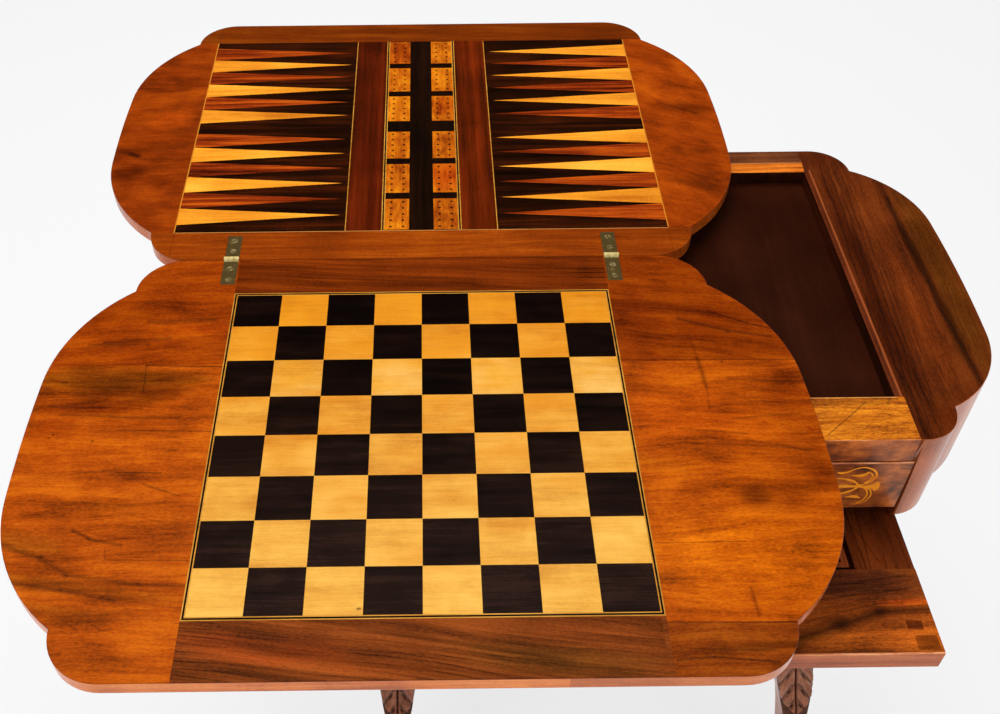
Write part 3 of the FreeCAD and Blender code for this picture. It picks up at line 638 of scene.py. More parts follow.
@dataclass(frozen=True)
class Metal(Finish):
    """A metal: its clean and tarnished colours and how worn it is."""

    bright: Colour
    tarnish: Colour
    wear: float
    patch: float
    roughness: float
    metallic: float
    seed: float

    def lay(self, paint: Paint) -> None:
        """Tarnish in patches, rubbed bright along brushed lines.

        Args:
            paint: the empty node tree.
        """
        place = paint.place()
        patch = paint.noise(place, (self.patch,) * 3, self.seed, 4.0, 0.65)
        brush = paint.noise(place, (0.5, 11.0, 0.5), self.seed + 3, 2.0, 0.6)
        clean = 0.75 - 0.5 * self.wear
        worn = (patch + (brush - 0.5) * 0.5).eased(clean, clean + 0.3)
        paint.surface(base_color=paint.mix(worn, self.tarnish, self.bright), metallic=self.metallic,
                      roughness=(1 - worn) * 0.25 + self.roughness,
                      normal=paint.bump(brush + patch, 0.03))


@dataclass(frozen=True)
class Cloth(Finish):
    """A close lining glued on board: two threads of one tone, with rubbed places."""

    tone: Colour
    rubbed: Colour
    thread: float = 0.9
    float_length: float = 14.0
    seed: float = 9.0

    def lay(self, paint: Paint) -> None:
        """Warp and weft, and the paler places where hands have been.

        Args:
            paint: the empty node tree.
        """
        place = paint.place()
        warp = paint.noise(place, (self.thread, self.float_length, self.float_length), self.seed)
        weft = paint.noise(place, (self.float_length, self.thread, self.thread), self.seed + 4)
        rub = paint.noise(place, (45.0,) * 3, self.seed + 8, 3.0).eased(0.45, 0.8)
        weave = (warp + weft) * 0.5
        colour = paint.mix(rub * 0.5 + (weave - 0.5) * 0.8, self.tone, self.rubbed)
        paint.surface(base_color=colour, roughness=(weave * 0.1) + 0.75, specular_ior_level=0.2,
                      normal=paint.bump(weave, 0.15))


class Finishes:
    """Every finish of the table, by what it is laid on."""

    chess_ends = Wood("figured_walnut_chess", shade(198, 96, 7), shade(160, 66, 4), shade(100, 36, 3),
        stripe=15, run=110, wander=34, wander_length=170, streak=0.42, fine=0.4, lines=0.14, line_pitch=13,
        curl=1.6, cloud=0.5, cloud_size=52, fibre=0.45, pores=0.45, grit=0.45, seed=3, coat=0, specular=0.2,
        sheets_and_shades=(SheetAndShade((-FAR, -131), (-300, FAR), (40, 210, 0), -3, (0.72, 0.6, 0.45)),
                SheetAndShade((-100, -133), (FAR, FAR), (-90, 330, 0), 8, (0.6, 0.5, 0.4)),
                SheetAndShade((-100, -FAR), (FAR, -410), (300, -60, 0), -3, (0.62, 0.66, 1.8))),
        marks=marks_of((-475, -131.2, -404, -134, 1.3, 0.8), (-548, -107, -510, -107, 0.7, 0.35),
            (-475, -132, -472, -165, 1, 0.55, 3), (-35, -131, 135, -133, 0.9, 0.5),
            (-32, -409.8, 80, -411.3, 0.9, 0.5), (37, -100, 38.6, -130, 2, 0.3, 5, shade(70, 20, 3)),
            (38.6, -130, 41.4, -166, 3.6, 0.6, 5, shade(66, 18, 3)),
            (41.4, -166, 39, -196, 2, 0.4, 5, shade(80, 24, 4)),
            (37.4, -380, 38.6, -405, 2.6, 0.6, 4, shade(100, 32, 5)),
            (-30.9, -337.3, 42, -336.4, 0.8, 0.6, 2), (-487, -210.6, -404.7, -213.3, 0.9, 0.65, 2),
            (-479.3, -257.9, -441.3, -259.7, 1, 0.75, 2), (-490.6, -244.4, -470, -259, 0.9, 0.35, 2),
            (-454, -271, -422, -284, 1.4, 0.5, 3), (-471.5, -347.4, -404.9, -348.6, 0.9, 0.6, 2),
            (-474, -336, -472, -347, 0.8, 0.4, 2), (-504, -318, -488, -327, 2.4, 0.6, 2),
            (-490, -326.5, -462, -333.4, 2.2, 0.55, 2), (-30, -441.9, -2, -439.7, 1.6, 0.6, 2),
            (-2, -439.7, 46, -444.5, 1.5, 0.6, 2), (-26, -431.9, 44, -434.6, 1, 0.4, 2),
            (-543, -215, -542.6, -215, 1.7, 0.85), (-545.8, -219, -545.5, -219, 1.5, 0.8),
            (-507, -223, -506.6, -223, 1.8, 0.7), (-507, -184, -506.8, -184, 1.6, 0.7),
            (-549, -151, -545, -151, 1.8, 0.6, 3), (-503, -293, -499, -292, 1.8, 0.6, 0, shade(110, 24, 6)),
            (61, -135, 61.6, -135, 2.2, 0.7), (84, -210, 84.6, -210, 2, 0.6, 0, shade(110, 20, 6)),
            (122, -216, 124, -220, 2.4, 0.5, 0, shade(120, 24, 6)),
            (86, -253, 90, -252, 1.8, 0.6, 0, shade(130, 20, 6)), (-559, -331.7, -524, -344.7, 4.5, 0.5, 3),
            (-524, -344.7, -499.6, -361, 4, 0.5, 3), (-499.6, -361, -441, -371, 3.6, 0.5, 3),
            (-441, -371, -404, -372.6, 2.2, 0.5, 2), (-546, -366.9, -500.5, -374.9, 2.6, 0.45, 3),
            (-500.5, -374.9, -457, -385, 3.6, 0.5, 3), (-533, -103.2, -477, -102.7, 4, 0.4, 4),
            (-520, -100, -458.5, -94.9, 3, 0.45, 5), (-481.3, -72.4, -420, -70, 5, 0.4, 5),
            (-542, -191.8, -434, -197, 2.6, 0.45, 5), (-552, -182, -500, -184, 2.2, 0.5, 3),
            (-560, -264, -476.5, -255.6, 2.4, 0.3, 5), (6, -60, 66.7, -69.2, 1.3, 0.7, 2),
            (66.7, -69.2, 95, -82.8, 1.5, 0.75, 1.5), (95, -82.8, 123, -94.3, 1.3, 0.7, 1.5),
            (30, -76, 75, -93.5, 3.4, 0.5, 3), (75, -93.5, 114, -101.5, 3.2, 0.5, 3),
            (-20, -92, 60, -108, 2.4, 0.4, 4), (62.8, -156.6, 120.7, -160.5, 2.2, 0.35, 4),
            (57.8, -205.4, 118.7, -199.7, 2.4, 0.35, 4), (64.8, -230.3, 115.3, -243, 2.4, 0.35, 4),
            (8.9, -216.8, 66.8, -222.3, 2.2, 0.35, 3), (6.4, -232.3, 120, -241.3, 2, 0.3, 5)),
        stains_and_shades=stains_and_shades_of((-505, -152, 88, 26, 0.46, 0.56, 0.75), (-440, -146, 40, 14, 0.62, 0.62, 0.7),
            (-452, -168, 44, 12, 0.56, 0.5, 0.5, 14), (-525, -186, 50, 7, 0.7, 0.6, 0.5),
            (-482, -176, 72, 36, 0.78, 0.7, 0.5), (40, -80, 90, 40, 0.84, 0.76, 0.6),
            (-548, -212, 30, 34, 0.82, 0.7, 0.6), (-450, -230, 60, 20, 1.1, 1.16, 1),
            (-460, -300, 70, 16, 1.16, 1.3, 1, -10), (-540, -330, 50, 12, 0.72, 0.8, 1.2, -14),
            (-500, -372, 110, 10, 0.7, 0.8, 1.1, -8), (-500, -395, 80, 10, 0.7, 0.74, 1, -6),
            (-470, -440, 50, 10, 0.8, 0.8, 0.9, 4), (-492, -60, 60, 12, 0.8, 0.76, 0.7),
            (-430, -84, 60, 10, 1.16, 1.1, 1), (-20, -255, 50, 12, 0.9, 0.95, 1, -12),
            (60, -291, 17, 14, 0.55, 0.52, 0.7), (122, -262, 22, 36, 0.6, 0.52, 0.6),
            (112, -180, 30, 50, 0.72, 0.62, 0.6), (78, -288, 50, 24, 0.8, 0.78, 0.8, -6),
            (20, -60, 100, 10, 0.72, 0.66, 0.6, -10), (20, -352, 120, 56, 1.3, 1.5, 1),
            (20, -200, 90, 40, 1.14, 1.08, 1), (60, -430, 90, 6, 0.6, 0.6, 0.6, 3)))
    points_ends = Wood("figured_walnut_points", shade(162, 68, 5), shade(129, 46, 3), shade(84, 27, 2),
        stripe=24, run=90, wander=50, wander_length=120, streak=0.36, fine=0.36, lines=0.16, line_pitch=18,
        curl=2, cloud=0.6, cloud_size=50, fibre=0.4, pores=0.4, grit=0.35, seed=11, coat=0, specular=0.2,
        sheets_and_shades=(SheetAndShade((-218, -FAR), (FAR, FAR), (60, 130, 0), 26, (1.2, 1.24, 1)),),
        marks=marks_of((-549, 206, -541, 203, 6, 0.95, 3, shade(34, 8, 2)),
            (-560, 214, -532, 196, 4, 0.4, 5, shade(60, 16, 2)),
            (-478.5, 64, -478.5, 448, 1.2, 0.8, 0, shade(226, 150, 44)),
            (42.5, 64, 42.5, 448, 1.2, 0.7, 0, shade(226, 150, 44)), (-520, 63.4, -478, 63.4, 0.8, 0.6),
            (42, 63.4, 90, 63.4, 0.8, 0.6), (66, 300, 110, 276, 2.4, 0.5, 6),
            (50, 180, 112, 142, 1.6, 0.35, 6), (52, 168, 104, 132, 1.2, 0.3, 6)),
        stains_and_shades=stains_and_shades_of((-515, 275, 30, 26, 1.5, 1.6, 1.2, 20), (-545, 170, 22, 20, 0.62, 0.55, 0.6),
            (-500, 150, 50, 14, 0.8, 0.75, 0.7, -20), (100, 290, 30, 16, 0.62, 0.6, 0.6, -20),
            (86, 196, 36, 10, 1.2, 1.25, 1, -24), (80, 140, 50, 10, 0.75, 0.75, 0.7, -26)))
    chess_strips = Wood("striped_walnut_chess", shade(148, 72, 22), shade(112, 50, 13), shade(58, 23, 7),
        stripe=12, run=230, wander=16, wander_length=240, streak=0.55, fine=0.55, lines=0.4, cloud=0.45,
        line_pitch=7, curl=1.4, grit=0.4, pores=0.4, seed=17, coat=0,
        sheets_and_shades=(SheetAndShade((-FAR, -FAR), (FAR, -300), (0, 0, 0), 8, (1, 0.94, 1)),
                SheetAndShade((-FAR, -100), (FAR, FAR), (120, 60, 0), 3, (0.8, 0.54, 0.15)),
                SheetAndShade((-36, -FAR), (FAR, -300), (500, 40, 0), 1, (1, 0.94, 1))),
        stains_and_shades=stains_and_shades_of((-120, -440, 100, 18, 0.85, 1.15, 1, -8), (-330, -430, 110, 16, 1.25, 1, 0.9, -8),
            (-200, -450, 190, 5, 0.65, 0.62, 0.6, -8), (-190, -426, 150, 3.5, 0.6, 0.6, 0.6, -11)))
    points_strips = Wood("striped_walnut_points", shade(164, 76, 6), shade(131, 51, 3), shade(88, 31, 2),
        stripe=12, run=200, wander=18, wander_length=160, streak=0.36, fine=0.4, lines=0.2, seed=23,
        cloud=0.4, fibre=0.45, grit=0.35, coat=0,
        sheets_and_shades=(SheetAndShade((-FAR, 300), (FAR, FAR), (60, 90, 0), 2, (0.66, 0.66, 0.6)),),
        marks=marks_of((-478, 63.2, 42, 63.2, 0.9, 0.5, 0, shade(236, 180, 96))))
    leaf_core = Wood("walnut_leaf_edge", shade(232, 136, 62), shade(208, 108, 40), shade(150, 66, 18),
        stripe=7, run=160, wander=5, streak=0.4, fine=0.4, lines=0.15, line_pitch=5, cloud=0.6,
        cloud_size=70, seed=29, roughness=0.24, specular=0.4, coat=0.05, sheen=(1, 0.76, 0.56),
        # painted shade: the far leaf's edges darker, standing in for light that falls off from front to back
        sheets_and_shades=(SheetAndShade((-FAR, 18.8), (FAR, FAR), (0, 0, 0), 0, (0.66, 0.52, 0.3)),
                SheetAndShade((-110, -FAR), (FAR, 18.8), (90, 0, 0), 0, (0.84, 0.82, 0.92))))
    closed_face = Wood("burr_walnut_closed_face", shade(190, 100, 30), shade(150, 68, 14), shade(70, 26, 6),
        stripe=30, run=90, wander=95, wander_length=60, streak=0.7, fine=0.5, lines=0.4, cloud=0.7,
        cloud_size=40, seed=31)
    light_square = Wood("boxwood_squares", shade(232, 180, 84), shade(220, 162, 60), shade(192, 125, 33),
        stripe=22, run=150, wander=8, streak=0.3, fine=0.28, lines=0.1, cloud=0.35, cloud_size=30, fibre=0.5,
        pores=0, seed=37, cells=Cells((-402, -402.4), (46, 46), 0.2), grit=0.25, sheen=WHITE, coat=0,
        sheets_and_shades=(SheetAndShade((-FAR, -172.4), (FAR, -126.4), (30, 70, 0), 0, (1.05, 1.22, 2.4)),),
        marks=marks_of((-267.9, -395.2, -266.5, -395, 1.8, 0.85, 2)),
        # painted shade: the far squares darker and less veiled, standing in for light that falls off from
        # front to back
        stains_and_shades=stains_and_shades_of((-218, 60, 900, 430, 0.86, 0.6, 0.1)))
    dark_square = Wood("ebonised_squares", shade(42, 22, 13), shade(27, 13, 7), shade(13, 6, 3), stripe=9,
        run=120, wander=6, streak=0.45, fine=0.5, lines=0, cloud=0.4, cloud_size=40, fibre=0.4, pores=0.25,
        seed=41, sheen=WHITE, coat=0, cells=Cells((-402, -402.4), (46, 46), 0.16),
        # painted shade: the far squares darker; painted highlight and reflection: the near squares paler and
        # bluer, standing in for the polish's veil
        stains_and_shades=stains_and_shades_of((-218, 60, 900, 430, 0.3, 0.28, 0.28), (-218, -360, 900, 180, 1.25, 1.3, 1.5)))
    string_light = Wood("boxwood_stringing", shade(214, 156, 66), shade(184, 126, 44), shade(128, 78, 22),
        stripe=8, streak=0.3, fine=0.3, lines=0, pores=0, seed=43)
    string_dark = Wood("ebonised_stringing", shade(40, 24, 14), shade(22, 12, 7), shade(10, 5, 3), stripe=8,
        streak=0.3, fine=0.3, lines=0, pores=0, seed=47)
    ground = Wood("dark_rosewood_ground", shade(66, 22, 3), shade(33, 10, 2), shade(14, 4, 1), stripe=10,
        run=200, wander=8, streak=0.6, fine=0.55, lines=0.2, cloud=0.5, seed=53,
        cells=Cells((-218, -3.6), (400, 28.17), 0.3, mirror=256))
    point_light = Wood("boxwood_points", shade(252, 180, 62), shade(230, 146, 34), shade(182, 98, 16),
        stripe=18, run=160, wander=6, streak=0.35, fine=0.35, lines=0.1, cloud=0.35, pores=0, seed=59,
        cells=Cells((-218, 10.5), (400, 28.17), 0.3, mirror=256))
    point_red = Wood("tulipwood_points", shade(184, 78, 10), shade(128, 40, 5), shade(58, 14, 3), stripe=6.5,
        run=150, wander=5, streak=0.75, fine=0.6, lines=0.3, line_pitch=7, cloud=0.35, seed=61,
        cells=Cells((-218, 10.5), (400, 28.17), 0.3, mirror=256))
    bar = Wood("rosewood_bars", shade(104, 31, 4), shade(74, 19, 2), shade(44, 11, 1), grain=Axis.Y,
        stripe=9, run=300, wander=9, streak=0.5, fine=0.35, lines=0.2, line_pitch=9, fibre=0.3, seed=67,
        sheets_and_shades=(SheetAndShade((-218, -FAR), (FAR, FAR), (70, 40, 0), 0, (1.4, 1.5, 1)),))
    band = Wood("dark_centre_band", shade(34, 14, 5), shade(21, 8, 3), shade(10, 4, 2), grain=Axis.Y,
        stripe=7, streak=0.5, fine=0.5, lines=0, seed=71)
    peg_block = Wood("satinwood_peg_blocks", shade(222, 132, 14), shade(186, 94, 6), shade(128, 48, 4),
        grain=Axis.Y, stripe=10, run=40, wander=8, streak=0.45, fine=0.5, lines=0.2, cloud=0.4,
        cloud_size=18, seed=73, cells=Cells((-218, -0.4), (100, 64), 0.45, mirror=256),
        stains_and_shades=stains_and_shades_of((-188, 158, 40, 40, 0.7, 0.36, 0.4), (-186, 300, 30, 26, 0.86, 0.66, 0.6),
            (-248, 410, 30, 50, 0.9, 0.7, 0.6)))
    case = Wood("walnut_case", shade(124, 56, 16), shade(94, 38, 10), shade(48, 17, 5), grain=Axis.Y,
        stripe=12, run=210, wander=20, wander_length=150, streak=0.3, fine=0.42, lines=0.16, line_pitch=9,
        curl=1.2, cloud=0.45, fibre=0.45, pores=0.4, grit=0.4, seed=79, coat=0,
        marks=marks_of((238, 190, 222, -150, 1.3, 0.7, 5), (246, 190, 226, -215, 1.1, 0.65, 5),
            (251, 180, 231, -215, 1.7, 0.6, 6), (257, 170, 237, -215, 1.1, 0.65, 5),
            (262, 150, 243, -200, 1.3, 0.55, 6), (266, 60, 250, -180, 1, 0.4, 6),
            (296, 130, 297, -10, 3.6, 0.6, 10), (297, -10, 303, -155, 3.2, 0.6, 10),
            (288, 120, 286, -60, 1.2, 0.35, 9)),
        stains_and_shades=stains_and_shades_of((237, -10, 17, 330, 0.46, 0.4, 0.5), (-237, -10, 17, 330, 0.46, 0.4, 0.5),
            (299, -10, 7, 220, 0.4, 0.4, 0.5, 1.5), (-299, -10, 7, 220, 0.4, 0.4, 0.5, -1.5),
            (316, 10, 22, 230, 0.8, 1.1, 0.7), (-316, 10, 22, 230, 0.8, 1.1, 0.7),
            (275, -60, 12, 120, 1.25, 1.2, 1, 1), (262, -196, 40, 16, 0.84, 0.74, 0.7, 10)))
    case_back_top = Wood("walnut_case_back_top", shade(134, 76, 40), shade(100, 52, 26), shade(56, 26, 12),
        stripe=5, run=150, wander=5, streak=0.4, fine=0.5, lines=0.4, line_pitch=6, grit=0.3, seed=80, coat=0,
        # painted highlight: the pale line along the back arris of the top
        marks=marks_of((-222, 196.2, 222, 196.2, 1, 0.6, 0, shade(196, 140, 96))))
    case_side = Wood("walnut_case_sides", shade(204, 114, 68), shade(172, 86, 46), shade(112, 50, 26),
        grain=Axis.Z, stripe=16, run=160, wander=22, streak=0.4, fine=0.35, lines=0.15, cloud=0.6, seed=81,
        roughness=0.3, specular=0.5, coat=0.3, coat_roughness=0.14)
    # painted shade: the tray's inner walls dark, standing in for the shadow inside the tray
    case_inner_painted_shade = Wood("walnut_case_inner_wall_painted_shade", shade(70, 28, 10), shade(44, 16, 6), shade(22, 8, 3),
        grain=Axis.Y, stripe=9, run=300, wander=10, streak=0.5, fine=0.5, lines=0.3, seed=85, roughness=0.4,
        coat=0)
    case_arris = Wood("walnut_case_arris", shade(112, 46, 16), shade(82, 30, 10), shade(44, 15, 5),
        grain=Axis.Y, stripe=3, run=160, wander=2, streak=0.5, fine=0.5, lines=0, seed=86, roughness=0.3,
        coat=0,
        # painted highlight: pale lines along the outer edges of the tray's sloping margin
        marks=marks_of((223.6, -167, 223.6, 182, 1.2, 0.6, 0.8, shade(176, 92, 44)),
            (-223.6, -167, -223.6, 182, 1.2, 0.6, 0.8, shade(176, 92, 44))))
    case_back = Wood("walnut_case_back", shade(240, 140, 44), shade(206, 106, 26), shade(110, 46, 10),
        stripe=5, run=280, wander=14, streak=0.6, fine=0.5, lines=0.3, seed=83)
    golden_rail = Wood("golden_rail", shade(226, 136, 26), shade(186, 98, 14), shade(108, 46, 6), stripe=5,
        run=60, wander=12, wander_length=60, streak=0.45, fine=0.6, lines=0.4, line_pitch=7, curl=2,
        fibre=0.5, grit=0.7, pores=0.6, seed=89, roughness=0.36, coat=0,
        marks=marks_of((188.8, -173.7, 143.8, -212.9, 0.8, 0.75, 1.5), (213, -169, 208, -176, 2, 0.4, 2),
            (210.1, -176.4, 176.3, -209.4, 0.7, 0.3, 1.5),
            # painted highlight: the pale line along the rail's back arris
            (-218, -168, 218, -168, 1, 0.5, 1, shade(230, 170, 100)),
            (-218, -170.6, 218, -169.6, 1.6, 0.5, 3)),
        stains_and_shades=stains_and_shades_of((150, -174, 90, 4, 0.6, 0.55, 0.5), (170, -196, 60, 5, 0.8, 0.7, 0.5, 6)))
    tray = Wood("stained_tray", shade(58, 22, 9), shade(44, 14, 5), shade(28, 8, 3), grain=Axis.Y, stripe=26,
        streak=0.2, fine=0.2, lines=0, cloud=0.5, fibre=0.2, seed=97, roughness=0.42, specular=0.25, coat=0)
    drawer_front = Wood("walnut_drawer_front", shade(206, 112, 48), shade(150, 74, 32), shade(74, 36, 30),
        stripe=15, run=60, wander=30, wander_length=60, streak=0.5, fine=0.4, lines=0, cloud=1,
        cloud_size=22, seed=101, roughness=0.3, specular=0.42, coat=0.15, coat_roughness=0.12)
    # rubbed wear, with a painted highlight: the pale tone stands in for light caught on rounded arrises
    arris_wear_and_highlight = Wood("walnut_arris_wear_and_highlight", shade(244, 170, 120), shade(214, 128, 82), shade(140, 70, 38),
        stripe=3, run=30, streak=0.8, fine=0.5, lines=0, pores=0, seed=105, specular=0.5, coat=0.3)
    marquetry = Wood("boxwood_marquetry", shade(255, 186, 84), shade(255, 160, 44), shade(236, 122, 20),
        stripe=9, streak=0.4, fine=0.3, lines=0, pores=0, seed=103)
    drawer_inside = Wood("waxed_drawer_mahogany", shade(170, 96, 50), shade(134, 68, 34), shade(84, 38, 18),
        grain=Axis.Y, stripe=14, streak=0.45, fine=0.5, lines=0.25, seed=107, roughness=0.5, coat=0)
    slide_front = Wood("walnut_slide_front", shade(184, 92, 24), shade(138, 62, 18), shade(70, 28, 9),
        stripe=13, run=110, wander=20, wander_length=120, streak=0.4, fine=0.5, lines=0.16, line_pitch=8,
        curl=1.4, cloud=0.5, fibre=0.45, grit=0.5, pores=0.45, seed=109, coat=0,
        sheets_and_shades=(SheetAndShade((209.5, -342.8), (223.5, -333.4), (0, 0, 0), 0, (0.42, 0.36, 0.5)),
                SheetAndShade((213, -363), (232.5, -348.4), (0, 0, 0), 0, (0.5, 0.44, 0.5))),
        marks=marks_of((60, -368, 152, -337, 11.5, 0.85, 7, shade(40, 16, 8)),
            (150, -337.6, 190, -325.2, 9, 0.85, 5, shade(40, 16, 8)),
            (188, -325.4, 236, -322.2, 6, 0.8, 4, shade(40, 16, 8)),
            (120, -334, 190, -316, 1.6, 0.5, 5, shade(40, 16, 8)),
            (-40, -330, -220, -342, 8, 0.6, 9, shade(40, 16, 8)), (140, -298, 224, -286.5, 1.2, 0.5, 3),
            (140, -311, 220, -300.5, 1.4, 0.5, 3), (150, -304, 206, -296, 1, 0.4, 3),
            (172.3, -365.6, 172.8, -365.6, 1.6, 0.8), (148.9, -365.8, 149.4, -365.8, 1.4, 0.8)),
        stains_and_shades=stains_and_shades_of((170, -295, 130, 22, 0.38, 0.44, 1.2, 4), (-120, -300, 150, 18, 0.6, 0.56, 0.8, -4),
            (212, -314.8, 30, 4, 1.6, 1.2, 0.9, 2), (175, -350, 90, 18, 1.95, 2.1, 1.5, 2),
            (226, -356, 12, 12, 0.7, 0.7, 0.7)))
    slide_edge = Wood("walnut_slide_edge", shade(200, 112, 62), shade(162, 78, 40), shade(100, 42, 22),
        stripe=8, run=150, wander=10, streak=0.4, fine=0.4, lines=0.15, seed=111, roughness=0.3,
        specular=0.3, coat=0, sheen=(1, 0.7, 0.45))
    slide_rail = Wood("walnut_slide_rails", shade(136, 64, 24), shade(102, 44, 16), shade(48, 18, 8),
        grain=Axis.Y, stripe=13, run=220, wander=10, streak=0.28, fine=0.36, lines=0.2, curl=2, grit=0.3,
        seed=113, coat=0,
        marks=marks_of((198, -212, 193.9, -280, 1.5, 0.6, 4), (188, -212, 189.6, -280, 1.5, 0.65, 4),
            (190, -230, 205, -272, 1.2, 0.5, 4)))
    well_lip = Wood("walnut_well_lip", shade(150, 72, 34), shade(112, 50, 22), shade(64, 26, 11),
        grain=Axis.Y, stripe=5, run=120, wander=4, streak=0.4, fine=0.4, lines=0, seed=115)
    stand = Wood("walnut_stand", shade(142, 82, 54), shade(108, 60, 39), shade(54, 26, 16), grain=Axis.Z,
        stripe=15, run=260, wander=18, streak=0.55, fine=0.5, lines=0.4, seed=127, roughness=0.26,
        specular=0.5, coat=0.4)
    # hollows darkened for dirt and as painted shade in the carving's recesses
    carved = Wood("walnut_carved_legs", shade(206, 138, 106), shade(146, 90, 67), shade(62, 31, 21),
        grain=Axis.Z, stripe=13, run=200, wander=14, streak=0.3, fine=0.36, lines=0, seed=129, roughness=0.3,
        specular=0.4, coat=0.15, hollow=0.94, sheen=(1, 0.8, 0.66))
    rail_below = Wood("walnut_rails_below", shade(142, 82, 54), shade(106, 58, 37), shade(54, 26, 16),
        grain=Axis.Y, stripe=15, run=300, wander=14, streak=0.55, fine=0.5, lines=0.4, seed=131)
    stretcher = Wood("walnut_stretcher", shade(142, 82, 54), shade(108, 60, 39), shade(54, 26, 16),
        stripe=15, run=300, wander=14, streak=0.55, fine=0.5, lines=0.4, seed=137, roughness=0.26, coat=0.4)
    brass = Metal("tarnished_brass", shade(162, 130, 70), shade(84, 66, 27), 0.4, 7, 0.34, 0.35, 3)
    screw_brass = Metal("screw_brass", shade(214, 190, 140), shade(120, 100, 52), 0.6, 3, 0.3, 0.45, 4)
    knuckle_brass = Metal("rubbed_brass", shade(246, 226, 160), shade(206, 178, 96), 0.8, 4, 0.24, 0.35, 5)
    iron = Metal("dark_iron", shade(104, 98, 92), shade(54, 46, 40), 0.35, 9, 0.45, 0.7, 7)
    # painted shade: the dark bottoms of the shallow holes stand in for the shade of bored holes
    peg_hole_shade = Wood("peg_hole_painted_shade", shade(70, 34, 12), shade(40, 18, 7), shade(16, 7, 3), stripe=3, lines=0,
        pores=0, seed=139, roughness=0.6, coat=0)
    # the cloth is near black: its own dark tone, deepened as painted shade inside the well
    lining = Cloth("dark_well_lining_painted_shade", shade(16, 9, 7), shade(30, 18, 14), seed=9)

FINISH_OF: tuple[tuple[Finish, str], ...] = (
    (Finishes.leaf_core, "chess_leaf backgammon_leaf"),
    (Finishes.closed_face, "closed_top_veneer"),
    (Finishes.chess_ends, "chess_end_panels"),
    (Finishes.points_ends, "points_end_panels"),
    (Finishes.chess_strips, "chess_margin_strips"),
    (Finishes.points_strips, "points_margin_strips"),
    (Finishes.light_square, "light_squares"),
    (Finishes.dark_square, "dark_squares"),
    (Finishes.string_light, "chess_string_light points_string_light"),
    (Finishes.string_dark, "chess_string_dark points_string_dark"),
    (Finishes.point_light, "points_light"),
    (Finishes.point_red, "points_red"),
    (Finishes.ground, "points_ground"),
    (Finishes.bar, "bar_panels"),
    (Finishes.band, "dark_bands"),
    (Finishes.peg_block, "peg_blocks"),
    (Finishes.brass, "hinge_plates_flap hinge_plates_top drawer_lock keyhole_plate"),
    (Finishes.knuckle_brass, "hinge_pins"),
    (Finishes.screw_brass, "hinge_screws_flap screws_top"),
    (Finishes.iron, "pivot_plate pivot_stud pivot_washer pivot_nut bearer_screws"),
    (Finishes.case, "case_end_left case_end_right"),
    (Finishes.case_back, "case_back"),
    (Finishes.golden_rail, "case_front_rail"),
    (Finishes.tray, "tray_floor swivel_rail dust_board drawer_stops"),
    (Finishes.drawer_front, "drawer_front"),
    (Finishes.drawer_inside, "drawer_sides drawer_back drawer_bottom"),
    (Finishes.slide_front, "slide_front_board"),
    (Finishes.slide_rail, "slide_rails"),
    (Finishes.lining, "well_cleats well_walls well_bottom"),
    (Finishes.rail_below, "slide_runners bearers block_left block_right"),
    (Finishes.stand, "pillars_left pillars_right"),
    (Finishes.stand, "leg_front_left leg_front_right leg_back_left leg_back_right"),
    (Finishes.stretcher, "stretcher"),
)


def dress_nodes() -> None:
    """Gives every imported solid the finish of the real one."""
    for finish, nodes in FINISH_OF:
        for node in nodes.split():
            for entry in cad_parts[node].material_slots:
                entry.material = finish.material()
    log.info("dressed the packed solids")


# ---------------------------------------------------------------------------------------------- mesh work
def linked(name: str, data: Optional[bpy.types.ID]) -> bpy.types.Object:
    """A new object in the scene.

    Args:
        name: its name.
        data: its mesh, curve, light or camera.

    Returns:
        The object.
    """
    made = bpy.data.objects.new(name, data)
    bpy.context.scene.collection.objects.link(made)
    return made


def drawn(drawing: bpy.types.Curve) -> bpy.types.Mesh:
    """The mesh of a curve, which is used up.

    Args:
        drawing: the curve.

    Returns:
        The mesh.
    """
    passing = linked(drawing.name, drawing)
    bpy.context.view_layer.update()
    mesh = bpy.data.meshes.new_from_object(passing.evaluated_get(bpy.context.evaluated_depsgraph_get()))
    bpy.data.curves.remove(drawing)
    return mesh


